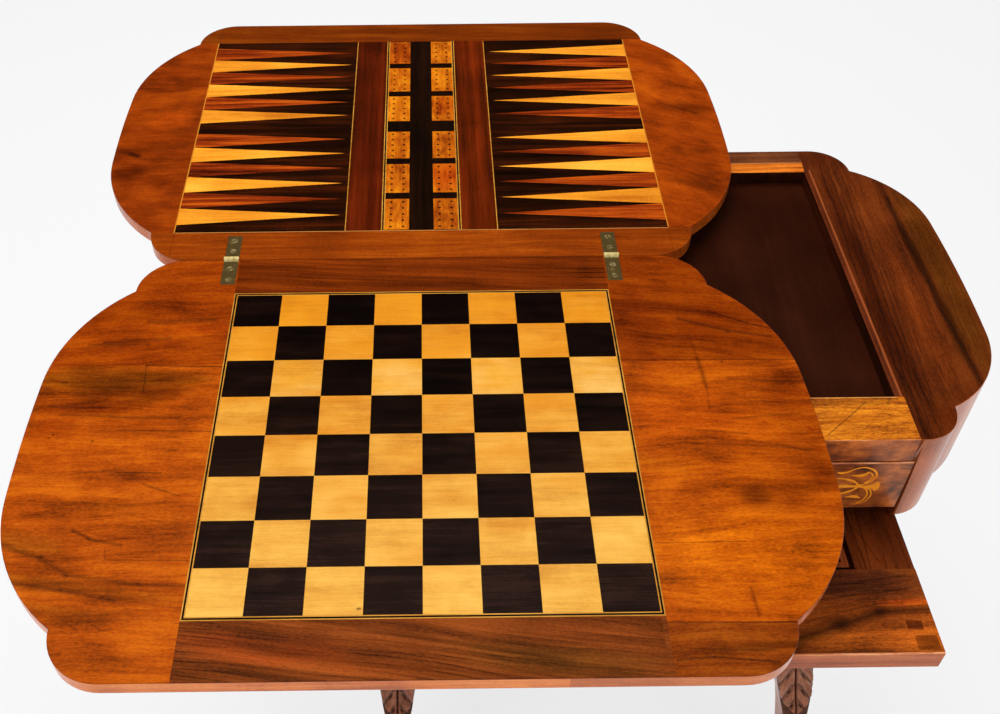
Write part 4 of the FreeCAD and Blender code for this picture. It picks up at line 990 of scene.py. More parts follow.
class Form:
    """A mesh under construction in millimetres that ends as a piece riding on a body."""

    def __init__(self, name: str) -> None:
        """Starts empty."""
        self.name = name
        self.mesh = bmesh.new()

    @classmethod
    def of_nodes(cls, name: str, *nodes: str) -> "Form":
        """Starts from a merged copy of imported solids, with flat faces in one piece.

        Args:
            name: the piece's name.
            *nodes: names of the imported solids.

        Returns:
            The form.
        """
        form = cls(name)
        for node in nodes:
            form.mesh.from_mesh(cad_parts[node].data)
        bmesh.ops.scale(form.mesh, vec=(PER_METRE,) * 3, verts=form.mesh.verts)
        bmesh.ops.remove_doubles(form.mesh, verts=form.mesh.verts, dist=0.004)
        bmesh.ops.dissolve_limit(form.mesh, angle_limit=math.radians(0.5), verts=form.mesh.verts[:],
                                 edges=form.mesh.edges[:])
        return form

    def everything(self) -> list[Union[bmesh.types.BMVert, bmesh.types.BMEdge, bmesh.types.BMFace]]:
        """All corners, edges and faces."""
        return self.mesh.verts[:] + self.mesh.edges[:] + self.mesh.faces[:]

    def open_edges(self) -> list[bmesh.types.BMEdge]:
        """The edges with a face on one side only."""
        return [edge for edge in self.mesh.edges if len(edge.link_faces) == 1]

    def box(self, low: Point, high: Point) -> list[bmesh.types.BMVert]:
        """Adds a box between two corners.

        Args:
            low: the lowest corner.
            high: the highest corner.

        Returns:
            Its eight corners.
        """
        made = bmesh.ops.create_cube(self.mesh, size=1.0)["verts"]
        bmesh.ops.scale(self.mesh, vec=[b - a for a, b in zip(low, high)], verts=made)
        bmesh.ops.translate(self.mesh, vec=[(a + b) / 2 for a, b in zip(low, high)], verts=made)
        return made

    def take(self, mesh: bpy.types.Mesh) -> list[bmesh.types.BMVert]:
        """Adds a passing mesh, which is used up, and gives its corners.

        Args:
            mesh: the passing mesh.

        Returns:
            Its corners.
        """
        known = set(self.mesh.verts)
        self.mesh.from_mesh(mesh)
        bpy.data.meshes.remove(mesh)
        return [corner for corner in self.mesh.verts if corner not in known]

    def rims(self, test: Callable[[Vector], bool], sharper: float = 30.0) -> list[bmesh.types.BMEdge]:
        """The edges whose middle passes a test and whose faces meet at more than an angle.

        Args:
            test: whether a place counts.
            sharper: the least angle in degrees.

        Returns:
            The edges.
        """
        return [edge for edge in self.mesh.edges
                if len(edge.link_faces) == 2 and test((edge.verts[0].co + edge.verts[1].co) / 2)
                and edge.calc_face_angle(0.0) > math.radians(sharper)]

    def ease(self, edges: Iterable[bmesh.types.BMEdge], width: float, segments: int = 2) -> None:
        """Rounds edges.

        Args:
            edges: the edges.
            width: how far the round reaches.
            segments: its steps.
        """
        bmesh.ops.bevel(self.mesh, geom=list(edges), offset=width, offset_type="OFFSET",
                        segments=segments, profile=0.5, affect="EDGES", clamp_overlap=True,
                        loop_slide=False, material=-1)

    def number_faces(self, rule: Callable[[bmesh.types.BMFace], int]) -> None:
        """Gives each face the number of its finish."""
        for face in self.mesh.faces:
            face.material_index = rule(face)

    def keep_side(self, height: float, above: bool) -> None:
        """Cuts the form level and keeps what is above or below, closed again.

        Args:
            height: level of the cut.
            above: whether the upper side stays.
        """
        done = bmesh.ops.bisect_plane(
            self.mesh, geom=self.everything(), plane_co=(0.0, 0.0, height), plane_no=(0.0, 0.0, 1.0),
            clear_inner=above, clear_outer=not above)
        rim = [part for part in done["geom_cut"] if isinstance(part, bmesh.types.BMEdge)]
        bmesh.ops.contextual_create(self.mesh, geom=rim)

    def twin(self, name: str) -> "Form":
        """A copy.

        Args:
            name: the copy's name.

        Returns:
            The copy.
        """
        other = Form(name)
        other.mesh = self.mesh.copy()
        return other

    def loose(self) -> bpy.types.Object:
        """A passing object of this form.

        Returns:
            The object.
        """
        mesh = bpy.data.meshes.new(self.name + "_passing")
        self.mesh.to_mesh(mesh)
        return linked(mesh.name, mesh)

    def cut_away(self, cutter: "Form") -> None:
        """Takes another form out of this one.

        Args:
            cutter: the form to take out.
        """
        host, tool = self.loose(), cutter.loose()
        change = host.modifiers.new("cut", "BOOLEAN")
        change.operation, change.object, change.solver = "DIFFERENCE", tool, "EXACT"
        change.use_self = True
        bpy.context.view_layer.update()
        result = host.evaluated_get(bpy.context.evaluated_depsgraph_get())
        self.mesh.clear()
        self.mesh.from_mesh(result.data)
        for passing in (host, tool):
            bpy.data.meshes.remove(passing.data)

    def piece(self, body: str, slot: str, finishes: Sequence[Finish], replaces: Sequence[str] = (),
              smooth: float = 40.0) -> None:
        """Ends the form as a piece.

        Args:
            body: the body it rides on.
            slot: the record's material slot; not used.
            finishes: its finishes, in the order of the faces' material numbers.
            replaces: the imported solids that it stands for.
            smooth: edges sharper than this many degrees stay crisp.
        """
        bmesh.ops.scale(self.mesh, vec=(MM,) * 3, verts=self.mesh.verts)
        bmesh.ops.recalc_face_normals(self.mesh, faces=self.mesh.faces)
        mesh = bpy.data.meshes.new(self.name)
        self.mesh.to_mesh(mesh)
        self.mesh.free()
        mesh.shade_smooth()
        mesh.set_sharp_from_angle(angle=math.radians(smooth))
        for finish in finishes:
            mesh.materials.append(finish.material())
        made = linked(self.name, mesh)
        made.modifiers.new("even_shading", "WEIGHTED_NORMAL").keep_sharp = True
        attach(made, body)
        if replaces:
            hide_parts(*replaces)
        log.info("%s: %d faces", self.name, len(mesh.polygons))


def box_of(node: str) -> tuple[Vector, Vector]:
    """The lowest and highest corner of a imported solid, in millimetres."""
    low, high = (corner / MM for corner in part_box(node))
    return low, high


# -------------------------------------------------------------------------------------------------- leaves
@dataclass
class Leaf:
    """What both leaves share: a lobed board with a rounded lower edge and face veneers."""

    centre: Plan
    body: str
    closed_centre_y: float = -218.4
    half_depth: float = 237.0
    straight: float = 239.0
    bottom: float = 710.0
    face: float = 725.0
    veneer: float = 1.2
    lower_round: float = 1.2
    arris: float = 0.7

    def on_outline(self, spot: Vector) -> bool:
        """Whether a place lies on the outline of the leaf."""
        dx, dy = abs(spot.x - self.centre[0]), abs(spot.y - self.centre[1])
        return dy > self.half_depth - 0.05 or dx > self.straight + 0.5

    def at_level(self, level: float) -> Callable[[Vector], bool]:
        """A test for the outline at one height."""
        return lambda spot: at(spot.z, level) and self.on_outline(spot)

    def core(self, name: str) -> Form:
        """The board under the veneers, from the outline of the closed face, rounded below.

        Args:
            name: the piece's name.

        Returns:
            The board.
        """
        form = Form.of_nodes(name, "closed_top_veneer")
        bmesh.ops.translate(form.mesh, vec=(0.0, self.centre[1] - self.closed_centre_y, 0.0),
                            verts=form.mesh.verts)
        top = max(corner.co.z for corner in form.mesh.verts)
        for corner in form.mesh.verts:
            corner.co.z = self.face - self.veneer if corner.co.z > top - HAIR else self.bottom
        form.ease(form.rims(self.at_level(self.bottom)), self.lower_round, 3)
        return form

    def eased_veneer(self, name: str, node: str, slot: str, finish: Finish) -> None:
        """A face veneer whose outer arris is worn round.

        Args:
            name: the piece's name.
            node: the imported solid.
            slot: the record's material slot.
            finish: its finish.
        """
        form = Form.of_nodes(name, node)
        form.ease(form.rims(self.at_level(self.face)), self.arris)
        form.piece(self.body, slot, [finish], [node])


@dataclass
class Hinges:
    """The two brass hinges between the leaves."""

    places: tuple[float, ...] = (-412.7, -23.3)
    line: float = 18.8
    axis_height: float = 725.25
    face: float = 725.0
    half_width: float = 7.5
    length: float = 38.0
    plate: float = 2.0
    knuckle: float = 3.2
    room: float = 0.5
    plate_top: float = 9.0
    knuckle_top: float = 8.0
    arris: float = 0.35
    head: float = 3.4
    head_depth: float = 2.0
    taper: float = 0.42
    slot_width: float = 0.8
    slot_depth: float = 0.9
    clear: float = 5.0
    screw_shares: tuple[float, ...] = (0.36, 0.80)
    screw_turns: tuple[float, ...] = (24.0, -52.0, 71.0, 8.0, -33.0, 47.0, 12.0, -68.0)
    pivot_screw_turn: float = 30.0

    def pockets(self) -> Form:
        """What the hinges take out of the boards.

        Returns:
            The form to cut away.
        """
        tools = Form("hinge_pockets")
        reach = self.knuckle + self.room
        for x in self.places:
            tools.box((x - self.half_width, self.line - self.length, self.face - self.plate),
                      (x + self.half_width, self.line + self.length, self.face + self.plate_top))
            tools.box((x - self.half_width, self.line - reach, self.axis_height - reach),
                      (x + self.half_width, self.line + reach, self.face + self.knuckle_top))
        return tools

    def screw(self, form: Form, spot: Plan, turn: float, level: float, down: bool = True) -> None:
        """Adds one countersunk screw with a slotted head.

        Args:
            form: the form that gets the screw.
            spot: its place in plan.
            turn: turn of its slot in degrees.
            level: height of its face.
            down: whether it goes in from above.
        """
        blank = Form("screw_blank")
        bmesh.ops.create_circle(blank.mesh, cap_ends=True, segments=28, radius=self.head)
        crown = bmesh.ops.extrude_face_region(blank.mesh, geom=blank.mesh.faces[:])
        lower = [part for part in crown["geom"] if isinstance(part, bmesh.types.BMVert)]
        bmesh.ops.scale(blank.mesh, vec=(self.taper, self.taper, 1.0), verts=lower)
        bmesh.ops.translate(blank.mesh, vec=(0.0, 0.0, -self.head_depth), verts=lower)
        cutter = Form("screw_slot")
        cutter.box((-self.clear, -self.slot_width / 2, -self.slot_depth),
                   (self.clear, self.slot_width / 2, self.clear))
        bmesh.ops.recalc_face_normals(blank.mesh, faces=blank.mesh.faces)
        blank.cut_away(cutter)
        cutter.mesh.free()
        turned = Matrix.Rotation(math.radians(turn), 4, "Z")
        if not down:
            turned = Matrix.Rotation(math.pi, 4, "X") @ turned
        bmesh.ops.transform(blank.mesh, matrix=Matrix.Translation((*spot, level)) @ turned,
                            verts=blank.mesh.verts)
        passing = bpy.data.meshes.new("screw_passing")
        blank.mesh.to_mesh(passing)
        blank.mesh.free()
        form.take(passing)

    def plates(self, name: str, node: str, body: str) -> None:
        """The plates with their knuckles, edges softened.

        Args:
            name: the piece's name.
            node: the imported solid.
            body: the body it rides on.
        """
        form = Form.of_nodes(name, node)
        form.ease(form.rims(lambda spot: at(spot.z, self.face)
                            and abs(spot.y - self.line) > self.knuckle + 1.5
                            and min(abs(abs(spot.x - x) - self.half_width) for x in self.places) < 0.05),
                  self.arris)
        form.number_faces(lambda face: int(at(face.calc_center_median().y, self.line, self.knuckle + 0.4)))
        form.piece(body, "hinge_brass", [Finishes.brass, Finishes.knuckle_brass], [node])

    def build(self) -> None:
        """Plates and screws, with those of the pivot plate under the leaf."""
        self.plates("hinge_plate_pair_flap", "hinge_plates_flap", "folding_leaf")
        self.plates("hinge_plate_pair_top", "hinge_plates_top", "pivoted_leaf")
        turns = iter(self.screw_turns)
        for side, node, body in ((-1, "hinge_screws_flap", "folding_leaf"),
                                 (1, "screws_top", "pivoted_leaf")):
            form = Form("slotted_" + node)
            for x in self.places:
                for share in self.screw_shares:
                    self.screw(form, (x, self.line + side * self.length * share), next(turns), self.face)
            if node == "screws_top":
                low, high = box_of("pivot_plate")
                inset = 3 * self.head
                for x in (low.x + inset, high.x - inset):
                    for y in (low.y + inset, high.y - inset):
                        self.screw(form, (x, y), self.pivot_screw_turn + x, low.z, down=False)
            form.piece(body, "hinge_brass", [Finishes.screw_brass], [node])


@dataclass
class ChessLeaf(Leaf):
    """The folding leaf with the board of squares."""

    centre: Plan = (-218.0, -218.4)
    body: str = "folding_leaf"

    def build(self, pockets: Form) -> None:
        """Core, the face that shows when closed, and the eased veneers.

        Args:
            pockets: what the hinges take out.
        """
        whole = self.core("chess_leaf_core")
        under = whole.twin("closed_top_face")
        whole.keep_side(self.bottom + self.veneer, True)
        whole.cut_away(pockets)
        whole.piece(self.body, "leaf_walnut", [Finishes.leaf_core], ["chess_leaf"])
        under.keep_side(self.bottom + self.veneer, False)
        under.piece(self.body, "burr_walnut", [Finishes.closed_face], ["closed_top_veneer"])
        self.eased_veneer("chess_end_veneers", "chess_end_panels", "end_walnut", Finishes.chess_ends)
        self.eased_veneer("chess_long_veneers", "chess_margin_strips", "margin_walnut",
                          Finishes.chess_strips)


@dataclass
class PointsLeaf(Leaf):
    """The pivoted leaf with the backgammon points and the peg blocks."""

    centre: Plan = (-218.0, 256.0)
    body: str = "pivoted_leaf"
    field_half_depth: float = 192.5
    hole: float = 2.9
    hole_depth: float = 1.0
    hole_round: float = 0.28
    hole_rows: int = 5
    inset: float = 3.0
    plate_room: float = 5.0

    def bored_top(self, form: Form, low: Vector, high: Vector) -> None:
        """Adds the top of one block, with two rows of round holes sunk in it.

        Args:
            form: the form that gets the block.
            low: its lowest corner.
            high: its highest corner.
        """
        corners = bmesh.ops.create_grid(form.mesh, x_segments=2, y_segments=self.hole_rows,
                                        size=0.5)["verts"]
        bmesh.ops.scale(form.mesh, vec=(high.x - low.x, high.y - low.y, 1.0), verts=corners)
        bmesh.ops.translate(form.mesh, vec=((high.x + low.x) / 2, (high.y + low.y) / 2, self.face),
                            verts=corners)
        cells = list(dict.fromkeys(cell for corner in corners for cell in corner.link_faces))
        bmesh.ops.inset_individual(form.mesh, faces=cells, thickness=self.inset, depth=0.0)
        for cell in cells:
            middle = cell.calc_center_median()
            for corner in cell.verts:
                offset = corner.co - middle
                corner.co = middle + Vector((math.copysign(self.hole / 2, offset.x),
                                             math.copysign(self.hole / 2, offset.y), 0.0))
        sunk = bmesh.ops.extrude_discrete_faces(form.mesh, faces=cells)["faces"]
        for cell in sunk:
            # the hole bottoms get the dark finish, painted shade for the depth of a bored hole
            cell.material_index = 1
            bmesh.ops.translate(form.mesh, vec=(0.0, 0.0, -self.hole_depth), verts=cell.verts)
        walls = [edge for cell in sunk for corner in cell.verts for edge in corner.link_edges
                 if edge not in cell.edges[:]]
        form.ease(dict.fromkeys(walls), self.hole * self.hole_round)

    def peg_blocks(self) -> None:
        """Twelve blocks, each bored with two rows of peg holes."""
        blank = Form.of_nodes("peg_block_blanks", "peg_blocks")
        form = Form("bored_peg_blocks")
        for face in [face for face in blank.mesh.faces if face.normal.z > 0.9]:
            xs, ys = [corner.co.x for corner in face.verts], [corner.co.y for corner in face.verts]
            self.bored_top(form, Vector((min(xs), min(ys))), Vector((max(xs), max(ys))))
        blank.mesh.free()
        sides = bmesh.ops.extrude_edge_only(form.mesh, edges=form.open_edges())["geom"]
        bmesh.ops.translate(form.mesh, vec=(0.0, 0.0, -self.veneer),
                            verts=[part for part in sides if isinstance(part, bmesh.types.BMVert)])
        bmesh.ops.holes_fill(form.mesh, edges=form.open_edges())
        form.piece(self.body, "satinwood", [Finishes.peg_block, Finishes.peg_hole_shade], ["peg_blocks"])

    def end_veneers(self) -> None:
        """The end panels, with the long strips' veneer carried on over the corner lobes."""
        form = Form.of_nodes("points_end_veneers", "points_end_panels")
        form.ease(form.rims(self.at_level(self.face)), self.arris)
        for side in (-1, 1):
            bmesh.ops.bisect_plane(form.mesh, geom=form.everything(), plane_no=(0.0, 1.0, 0.0),
                                   plane_co=(0.0, self.centre[1] + side * self.field_half_depth, 0.0))
        form.number_faces(lambda face: int(abs(face.calc_center_median().y - self.centre[1])
                                           > self.field_half_depth))
        form.piece(self.body, "end_walnut", [Finishes.points_ends, Finishes.points_strips],
                   ["points_end_panels"])

    def build(self, pockets: Form) -> None:
        """Core with the recess of the pivot plate, eased veneers and bored peg blocks.

        Args:
            pockets: what the hinges take out.
        """
        core = self.core("backgammon_leaf_core")
        recess = Form("pivot_recess")
        low, high = box_of("pivot_plate")
        recess.box((low.x, low.y, low.z - self.plate_room), tuple(high))
        core.cut_away(pockets)
        core.cut_away(recess)
        core.piece(self.body, "leaf_walnut", [Finishes.leaf_core], ["backgammon_leaf"])
        self.end_veneers()
        self.eased_veneer("points_long_veneers", "points_margin_strips", "margin_walnut",
                          Finishes.points_strips)
        self.peg_blocks()


# ----------------------------------------------------------------------------------------- case and drawer
@dataclass
class Case:
    """The shaped case: its ends, back and front rail, with worn arrises and their own veneers."""

    body: str = "stand"
    top: float = 709.7
    wall: float = 218.5
    straight: float = 230.0
    half_depth: float = 219.5
    arris: float = 1.0
    rail_arris: float = 1.2
    over: float = 0.6
    mouth: float = 707.2
    mouth_side: float = 6.4
    mouth_back: float = 14.0
    tray_front: float = -167.3
    tray_back: float = 181.9

    def on_top_rim(self, spot: Vector) -> bool:
        """Whether a place lies on the outline of the case at its top."""
        return at(spot.z, self.top) and (abs(spot.y) > self.half_depth - 0.05
                                         or abs(spot.x) > self.straight + 0.5)

    def tray_mouth(self) -> Form:
        """What the sloping margin round the tray takes off its sides and back.

        Returns:
            The form to cut away.
        """
        tool = Form("tray_mouth")
        share = (self.top + self.over - self.mouth) / (self.top - self.mouth)
        for corner in tool.box((-self.wall - 0.1, self.tray_front, self.mouth),
                               (self.wall + 0.1, self.tray_back, self.top + self.over)):
            if corner.co.z > self.top:
                corner.co.x += math.copysign(self.mouth_side * share, corner.co.x)
                if corner.co.y > 0.0:
                    corner.co.y += self.mouth_back * share
        return tool

    def rimmed(self, name: str, node: str) -> Form:
        """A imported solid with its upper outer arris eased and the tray's margin cut.

        Args:
            name: the piece's name.
            node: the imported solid.

        Returns:
            The eased form.
        """
        form = Form.of_nodes(name, node)
        form.ease(form.rims(self.on_top_rim), self.arris, 3)
        form.cut_away(self.tray_mouth())
        return form

    def end_face(self, face: bmesh.types.BMFace) -> int:
        """Which finish a face of an end has: top veneer, side, inner wall of the tray, or its margin.

        Args:
            face: the face.

        Returns:
            Its finish's number.
        """
        middle = face.calc_center_median()
        beside_tray = abs(middle.x) < self.wall + self.mouth_side and middle.y > self.tray_front - 0.1
        if 0.1 < face.normal.z < 0.99 and beside_tray and middle.y < self.half_depth - 2.0:
            return 3
        if abs(middle.x) < self.wall + 0.6 and abs(middle.y) < self.half_depth - 1.0:
            return 2
        return 0 if face.normal.z > UPWARD else 1

    def back_face(self, face: bmesh.types.BMFace) -> int:
        """Which finish a face of the back has: top, outside, wall of the tray, or its pale margin.

        Args:
            face: the face.

        Returns:
            Its finish's number.
        """
        if 0.5 < face.normal.z < 0.998 and face.calc_center_median().y < self.half_depth - 2.0:
            return 3
        if face.normal.z > UPWARD:
            return 0
        return 2 if face.normal.y < -UPWARD else 1

    def rail(self) -> None:
        """The front rail with its unfaded top."""
        form = Form.of_nodes("front_rail", "case_front_rail")
        form.ease(form.rims(lambda spot: at(spot.z, self.top) and abs(spot.y) > self.half_depth - 0.5),
                  self.rail_arris, 3)
        # the front arris gets the pale finish of wear and painted highlight
        form.number_faces(lambda face: 2 if 0.5 < face.normal.z < 0.95 and face.normal.y < 0.0
                          else 0 if face.normal.z > UPWARD else 1)
        form.piece(self.body, "bare_walnut", [Finishes.golden_rail, Finishes.drawer_front,
                                              Finishes.arris_wear_and_highlight], ["case_front_rail"])

    def build(self) -> None:
        """Both ends, the back and the rail."""
        for side in ("left", "right"):
            end = self.rimmed("shaped_end_" + side, "case_end_" + side)
            end.number_faces(self.end_face)
            # the inner walls of the tray take the finish of painted shade; the sloping margin has painted
            # highlight lines
            end.piece(self.body, "case_walnut", [Finishes.case, Finishes.case_side, Finishes.case_inner_painted_shade,
                                                 Finishes.case_arris], ["case_end_" + side])
        back = self.rimmed("rounded_back", "case_back")
        back.number_faces(self.back_face)
        # the back's inner wall takes the finish of painted shade
        back.piece(self.body, "case_walnut", [Finishes.case_back_top, Finishes.case_side,
                                              Finishes.case_inner_painted_shade, Finishes.case_back], ["case_back"])
        self.rail()


@dataclass
class Marquetry:
    """The boxwood scrolls let into the drawer front, drawn for one half as strokes of changing width."""

    body: str = "drawer"
    face: float = -220.3
    proud: float = 0.12
    thickness: float = 0.3
    step: float = 0.003
    strokes: tuple[Stroke, ...] = (
        # the bell at the end, on its neck
        ((184.5, 645.2, 2.6), (190, 644.8, 2), (194.5, 644.4, 3.4), (198.5, 644.4, 6.4), (201, 644.4, 9.6),
         (202.6, 644.4, 13.2)),
        # upper scroll: an outer band, and a finer one that turns back into the neck
        ((171.5, 665.6, 0.8), (176, 669.8, 1.2), (183.5, 672.4, 1.5), (191, 670.6, 1.9), (197.2, 665.2, 2.2),
         (198.8, 658.6, 2), (196, 652.4, 1.5), (190, 647.6, 1.3), (185, 646, 1)),
        ((189, 665.4, 0.5), (192.8, 664, 1.3), (195.4, 659.6, 1.5), (194.4, 654.4, 1.2), (190.6, 649.6, 1)),
        # comma leaf inside it, and the small leaf to its left
        ((175.6, 661.2, 0.4), (180, 660.6, 2.4), (185.4, 660.8, 4.4), (189, 663.2, 2.6), (190.4, 665.4, 0.4)),
        ((161.4, 665.8, 0.4), (165.6, 664.6, 3), (169.4, 665.4, 2.4), (172.4, 667.2, 0.4)),
        # lower scroll: outer and inner bands, and its leaf
        ((186, 644.4, 1), (191.4, 642.6, 1.3), (195.8, 637.6, 1.4), (197.4, 630.6, 1.4), (195.2, 623.6, 1.2),
         (190.4, 619.4, 0.6)),
        ((191.8, 643.2, 0.8), (197.2, 640.4, 1.2), (200.4, 634.8, 1.4), (200.6, 627.6, 1.2),
         (197, 620.6, 0.8), (189, 617.6, 0.5)),
        ((177.6, 628.2, 0.4), (181.6, 629.4, 2.4), (186.4, 629.2, 4), (190.6, 627.8, 2.2),
         (192.6, 626.4, 0.4)),
        # three prongs that grow inwards from the neck
        ((186, 645.8, 1.2), (182.4, 650.4, 1.8), (176.6, 654, 3.2), (170.4, 656, 1.6), (163.6, 656.8, 0.6)),
        ((186, 645, 1.4), (180, 644.8, 3), (173, 644.8, 4.2), (167, 644.8, 3.4), (162, 644.6, 0.8)),
        ((186, 644.2, 1.2), (182.6, 639.8, 1.8), (177.8, 636.4, 3), (172.2, 634.4, 2.4), (167.5, 634, 0.5)),
        # the running stem towards the middle
        ((160, 645, 1), (151, 650.5, 2.4), (140, 655.5, 2.8), (128, 653, 2.6), (118, 645, 2.4),
         (107, 637.5, 2.6), (95, 636.5, 2.8), (84, 642.5, 2.4), (74, 646.5, 1.8), (62, 645, 0.8)),
        # scrolls and leaves on the stem
        ((140, 657, 0.8), (146, 664, 2.6), (141.5, 669.6, 2.8), (134.5, 667.4, 2.2), (134.6, 662.4, 0.8)),
        ((118, 643, 0.8), (125.5, 636, 2.6), (133.5, 630, 2.8), (132, 622.6, 2.4), (125, 622, 1.6),
         (123.6, 627, 0.6)),
        ((126, 655, 0.6), (118.5, 660.5, 3.4), (110, 662.4, 2.6), (103, 660.6, 0.5)),
        ((99, 635, 0.6), (104.5, 628, 2.6), (101, 622, 2.6), (94, 623.4, 2), (94.6, 628.6, 0.6)),
        ((92, 638.6, 0.6), (84.5, 633, 3), (77, 631, 2.2), (70.5, 632.4, 0.5)),
        ((84, 645, 0.6), (89, 652.5, 2.4), (86, 659.5, 2.6), (79, 659.8, 2), (78.2, 654.6, 0.6)),
        ((66, 647, 0.5), (60, 653.5, 2.8), (52, 656.2, 2.2), (45.5, 655, 0.5)),
        ((66, 643, 0.5), (60, 636.6, 2.8), (52, 634, 2.2), (45.5, 635.2, 0.5)),
        ((61, 645, 0.5), (52, 645, 3.4), (42, 645, 2.2), (35, 645, 0.5)),
    )

    def outline(self, stroke: Stroke, side: float) -> list[Plan]:
        """The closed outline of one stroke, on the right (1) or the left (-1).

        Args:
            stroke: places and widths along it.
            side: the half it lies in.

        Returns:
            The outline as x and z.
        """
        upper, lower = [], []
        for number, (x, z, width) in enumerate(stroke):
            ahead = stroke[min(number + 1, len(stroke) - 1)]
            behind = stroke[max(number - 1, 0)]
            along = Vector((ahead[0] - behind[0], ahead[1] - behind[1])).normalized()
            across = Vector((-along.y, along.x)) * width / 2
            upper.append((side * (x + across.x), z + across.y))
            lower.append((side * (x - across.x), z - across.y))
        return upper + lower[::-1]

    def filled(self, stroke: Stroke, side: float) -> bpy.types.Mesh:
        """One stroke as a thin flat body.

        Args:
            stroke: places and widths along it.
            side: the half it lies in.

        Returns:
            Its mesh.
        """
        drawing = bpy.data.curves.new("stroke_drawing", "CURVE")
        drawing.dimensions, drawing.fill_mode, drawing.resolution_u = "2D", "BOTH", 6
        drawing.extrude = self.thickness / 2
        ring = self.outline(stroke, side)
        spline = drawing.splines.new("BEZIER")
        spline.bezier_points.add(len(ring) - 1)
        for point, (x, z) in zip(spline.bezier_points, ring):
            point.co = (x, z, 0.0)
            point.handle_left_type = point.handle_right_type = "AUTO"
        spline.use_cyclic_u = True
        return drawn(drawing)

    def build(self) -> None:
        """Both halves in one piece; each stroke lies a hair over the one before it."""
        form = Form("drawer_marquetry")
        for side in (1.0, -1.0):
            for number, stroke in enumerate(self.strokes):
                fresh = form.take(self.filled(stroke, side))
                bmesh.ops.remove_doubles(form.mesh, verts=fresh, dist=0.01)
                bmesh.ops.translate(form.mesh, vec=(0.0, 0.0, number * self.step),
                                    verts=[corner for corner in fresh if corner.is_valid])
        upright = Matrix.Translation((0.0, self.face - self.proud + self.thickness / 2, 0.0)) @ (
            Matrix.Rotation(math.pi / 2, 4, "X"))
        bmesh.ops.transform(form.mesh, matrix=upright, verts=form.mesh.verts)
        form.piece(self.body, "boxwood", [Finishes.marquetry])


@dataclass
class DrawerFront:
    """The drawer front with its worn outer edges."""

    body: str = "drawer"
    face: float = -220.3
    half: float = 229.2
    low: float = 611.5
    high: float = 679.0
    arris: float = 0.9

    def on_edge(self, spot: Vector) -> bool:
        """Whether a place lies on the outer edge of the front face."""
        return at(spot.y, self.face) and (at(abs(spot.x), self.half, 0.05) or at(spot.z, self.low, 0.05)
                                          or at(spot.z, self.high, 0.05))

    def build(self) -> None:
        """The front with eased edges; the upper one is pale, for wear and as a painted highlight."""
        form = Form.of_nodes("eased_drawer_front", "drawer_front")
        form.ease(form.rims(self.on_edge), self.arris)
        # the upper arris gets the pale finish of wear and painted highlight
        form.number_faces(lambda face: int(0.1 < face.normal.z < 0.97 and face.normal.y < 0.0))
        form.piece(self.body, "case_walnut", [Finishes.drawer_front, Finishes.arris_wear_and_highlight], ["drawer_front"])


@dataclass
class WorkSlide:
    """The slide's front board and rails with worn edges."""

    body: str = "work_slide"
    top: float = 596.7
    front: float = -366.5
    half: float = 235.0
    arris: float = 0.9
    rail_arris: float = 1.0

    def build(self) -> None:
        """The front board, the rails round the well, and the well with its walnut lip."""
        board = Form.of_nodes("slide_front", "slide_front_board")
        board.ease(board.rims(lambda spot: at(spot.z, self.top) and (
            at(abs(spot.x), self.half) or spot.y < self.front + HAIR)), self.arris)
        # the rounded top arrises get the pale finish of wear and painted highlight
        board.number_faces(lambda face: 2 if 0.1 < face.normal.z < 0.97
                           else 0 if face.normal.z > UPWARD else 1)
        board.piece(self.body, "case_walnut", [Finishes.slide_front, Finishes.slide_edge,
                                               Finishes.arris_wear_and_highlight], ["slide_front_board"])
        rails = Form.of_nodes("slide_rail_frame", "slide_rails")
        rails.ease(rails.rims(lambda spot: at(abs(spot.x), self.half) and at(spot.z, self.top)),
                   self.rail_arris)
        rails.piece(self.body, "case_walnut", [Finishes.slide_rail], ["slide_rails"])
        well = Form.of_nodes("lipped_well_walls", "well_walls")
        well.number_faces(lambda face: int(face.normal.z > UPWARD))
        well.piece(self.body, "well_lining", [Finishes.lining, Finishes.well_lip], ["well_walls"])


# ---------------------------------------------------------------------------------------------- the trestle
def bell(value: float, width: float) -> float:
    """A rounded bump of height 1 at zero."""
    return math.exp(-(value / width) ** 2)


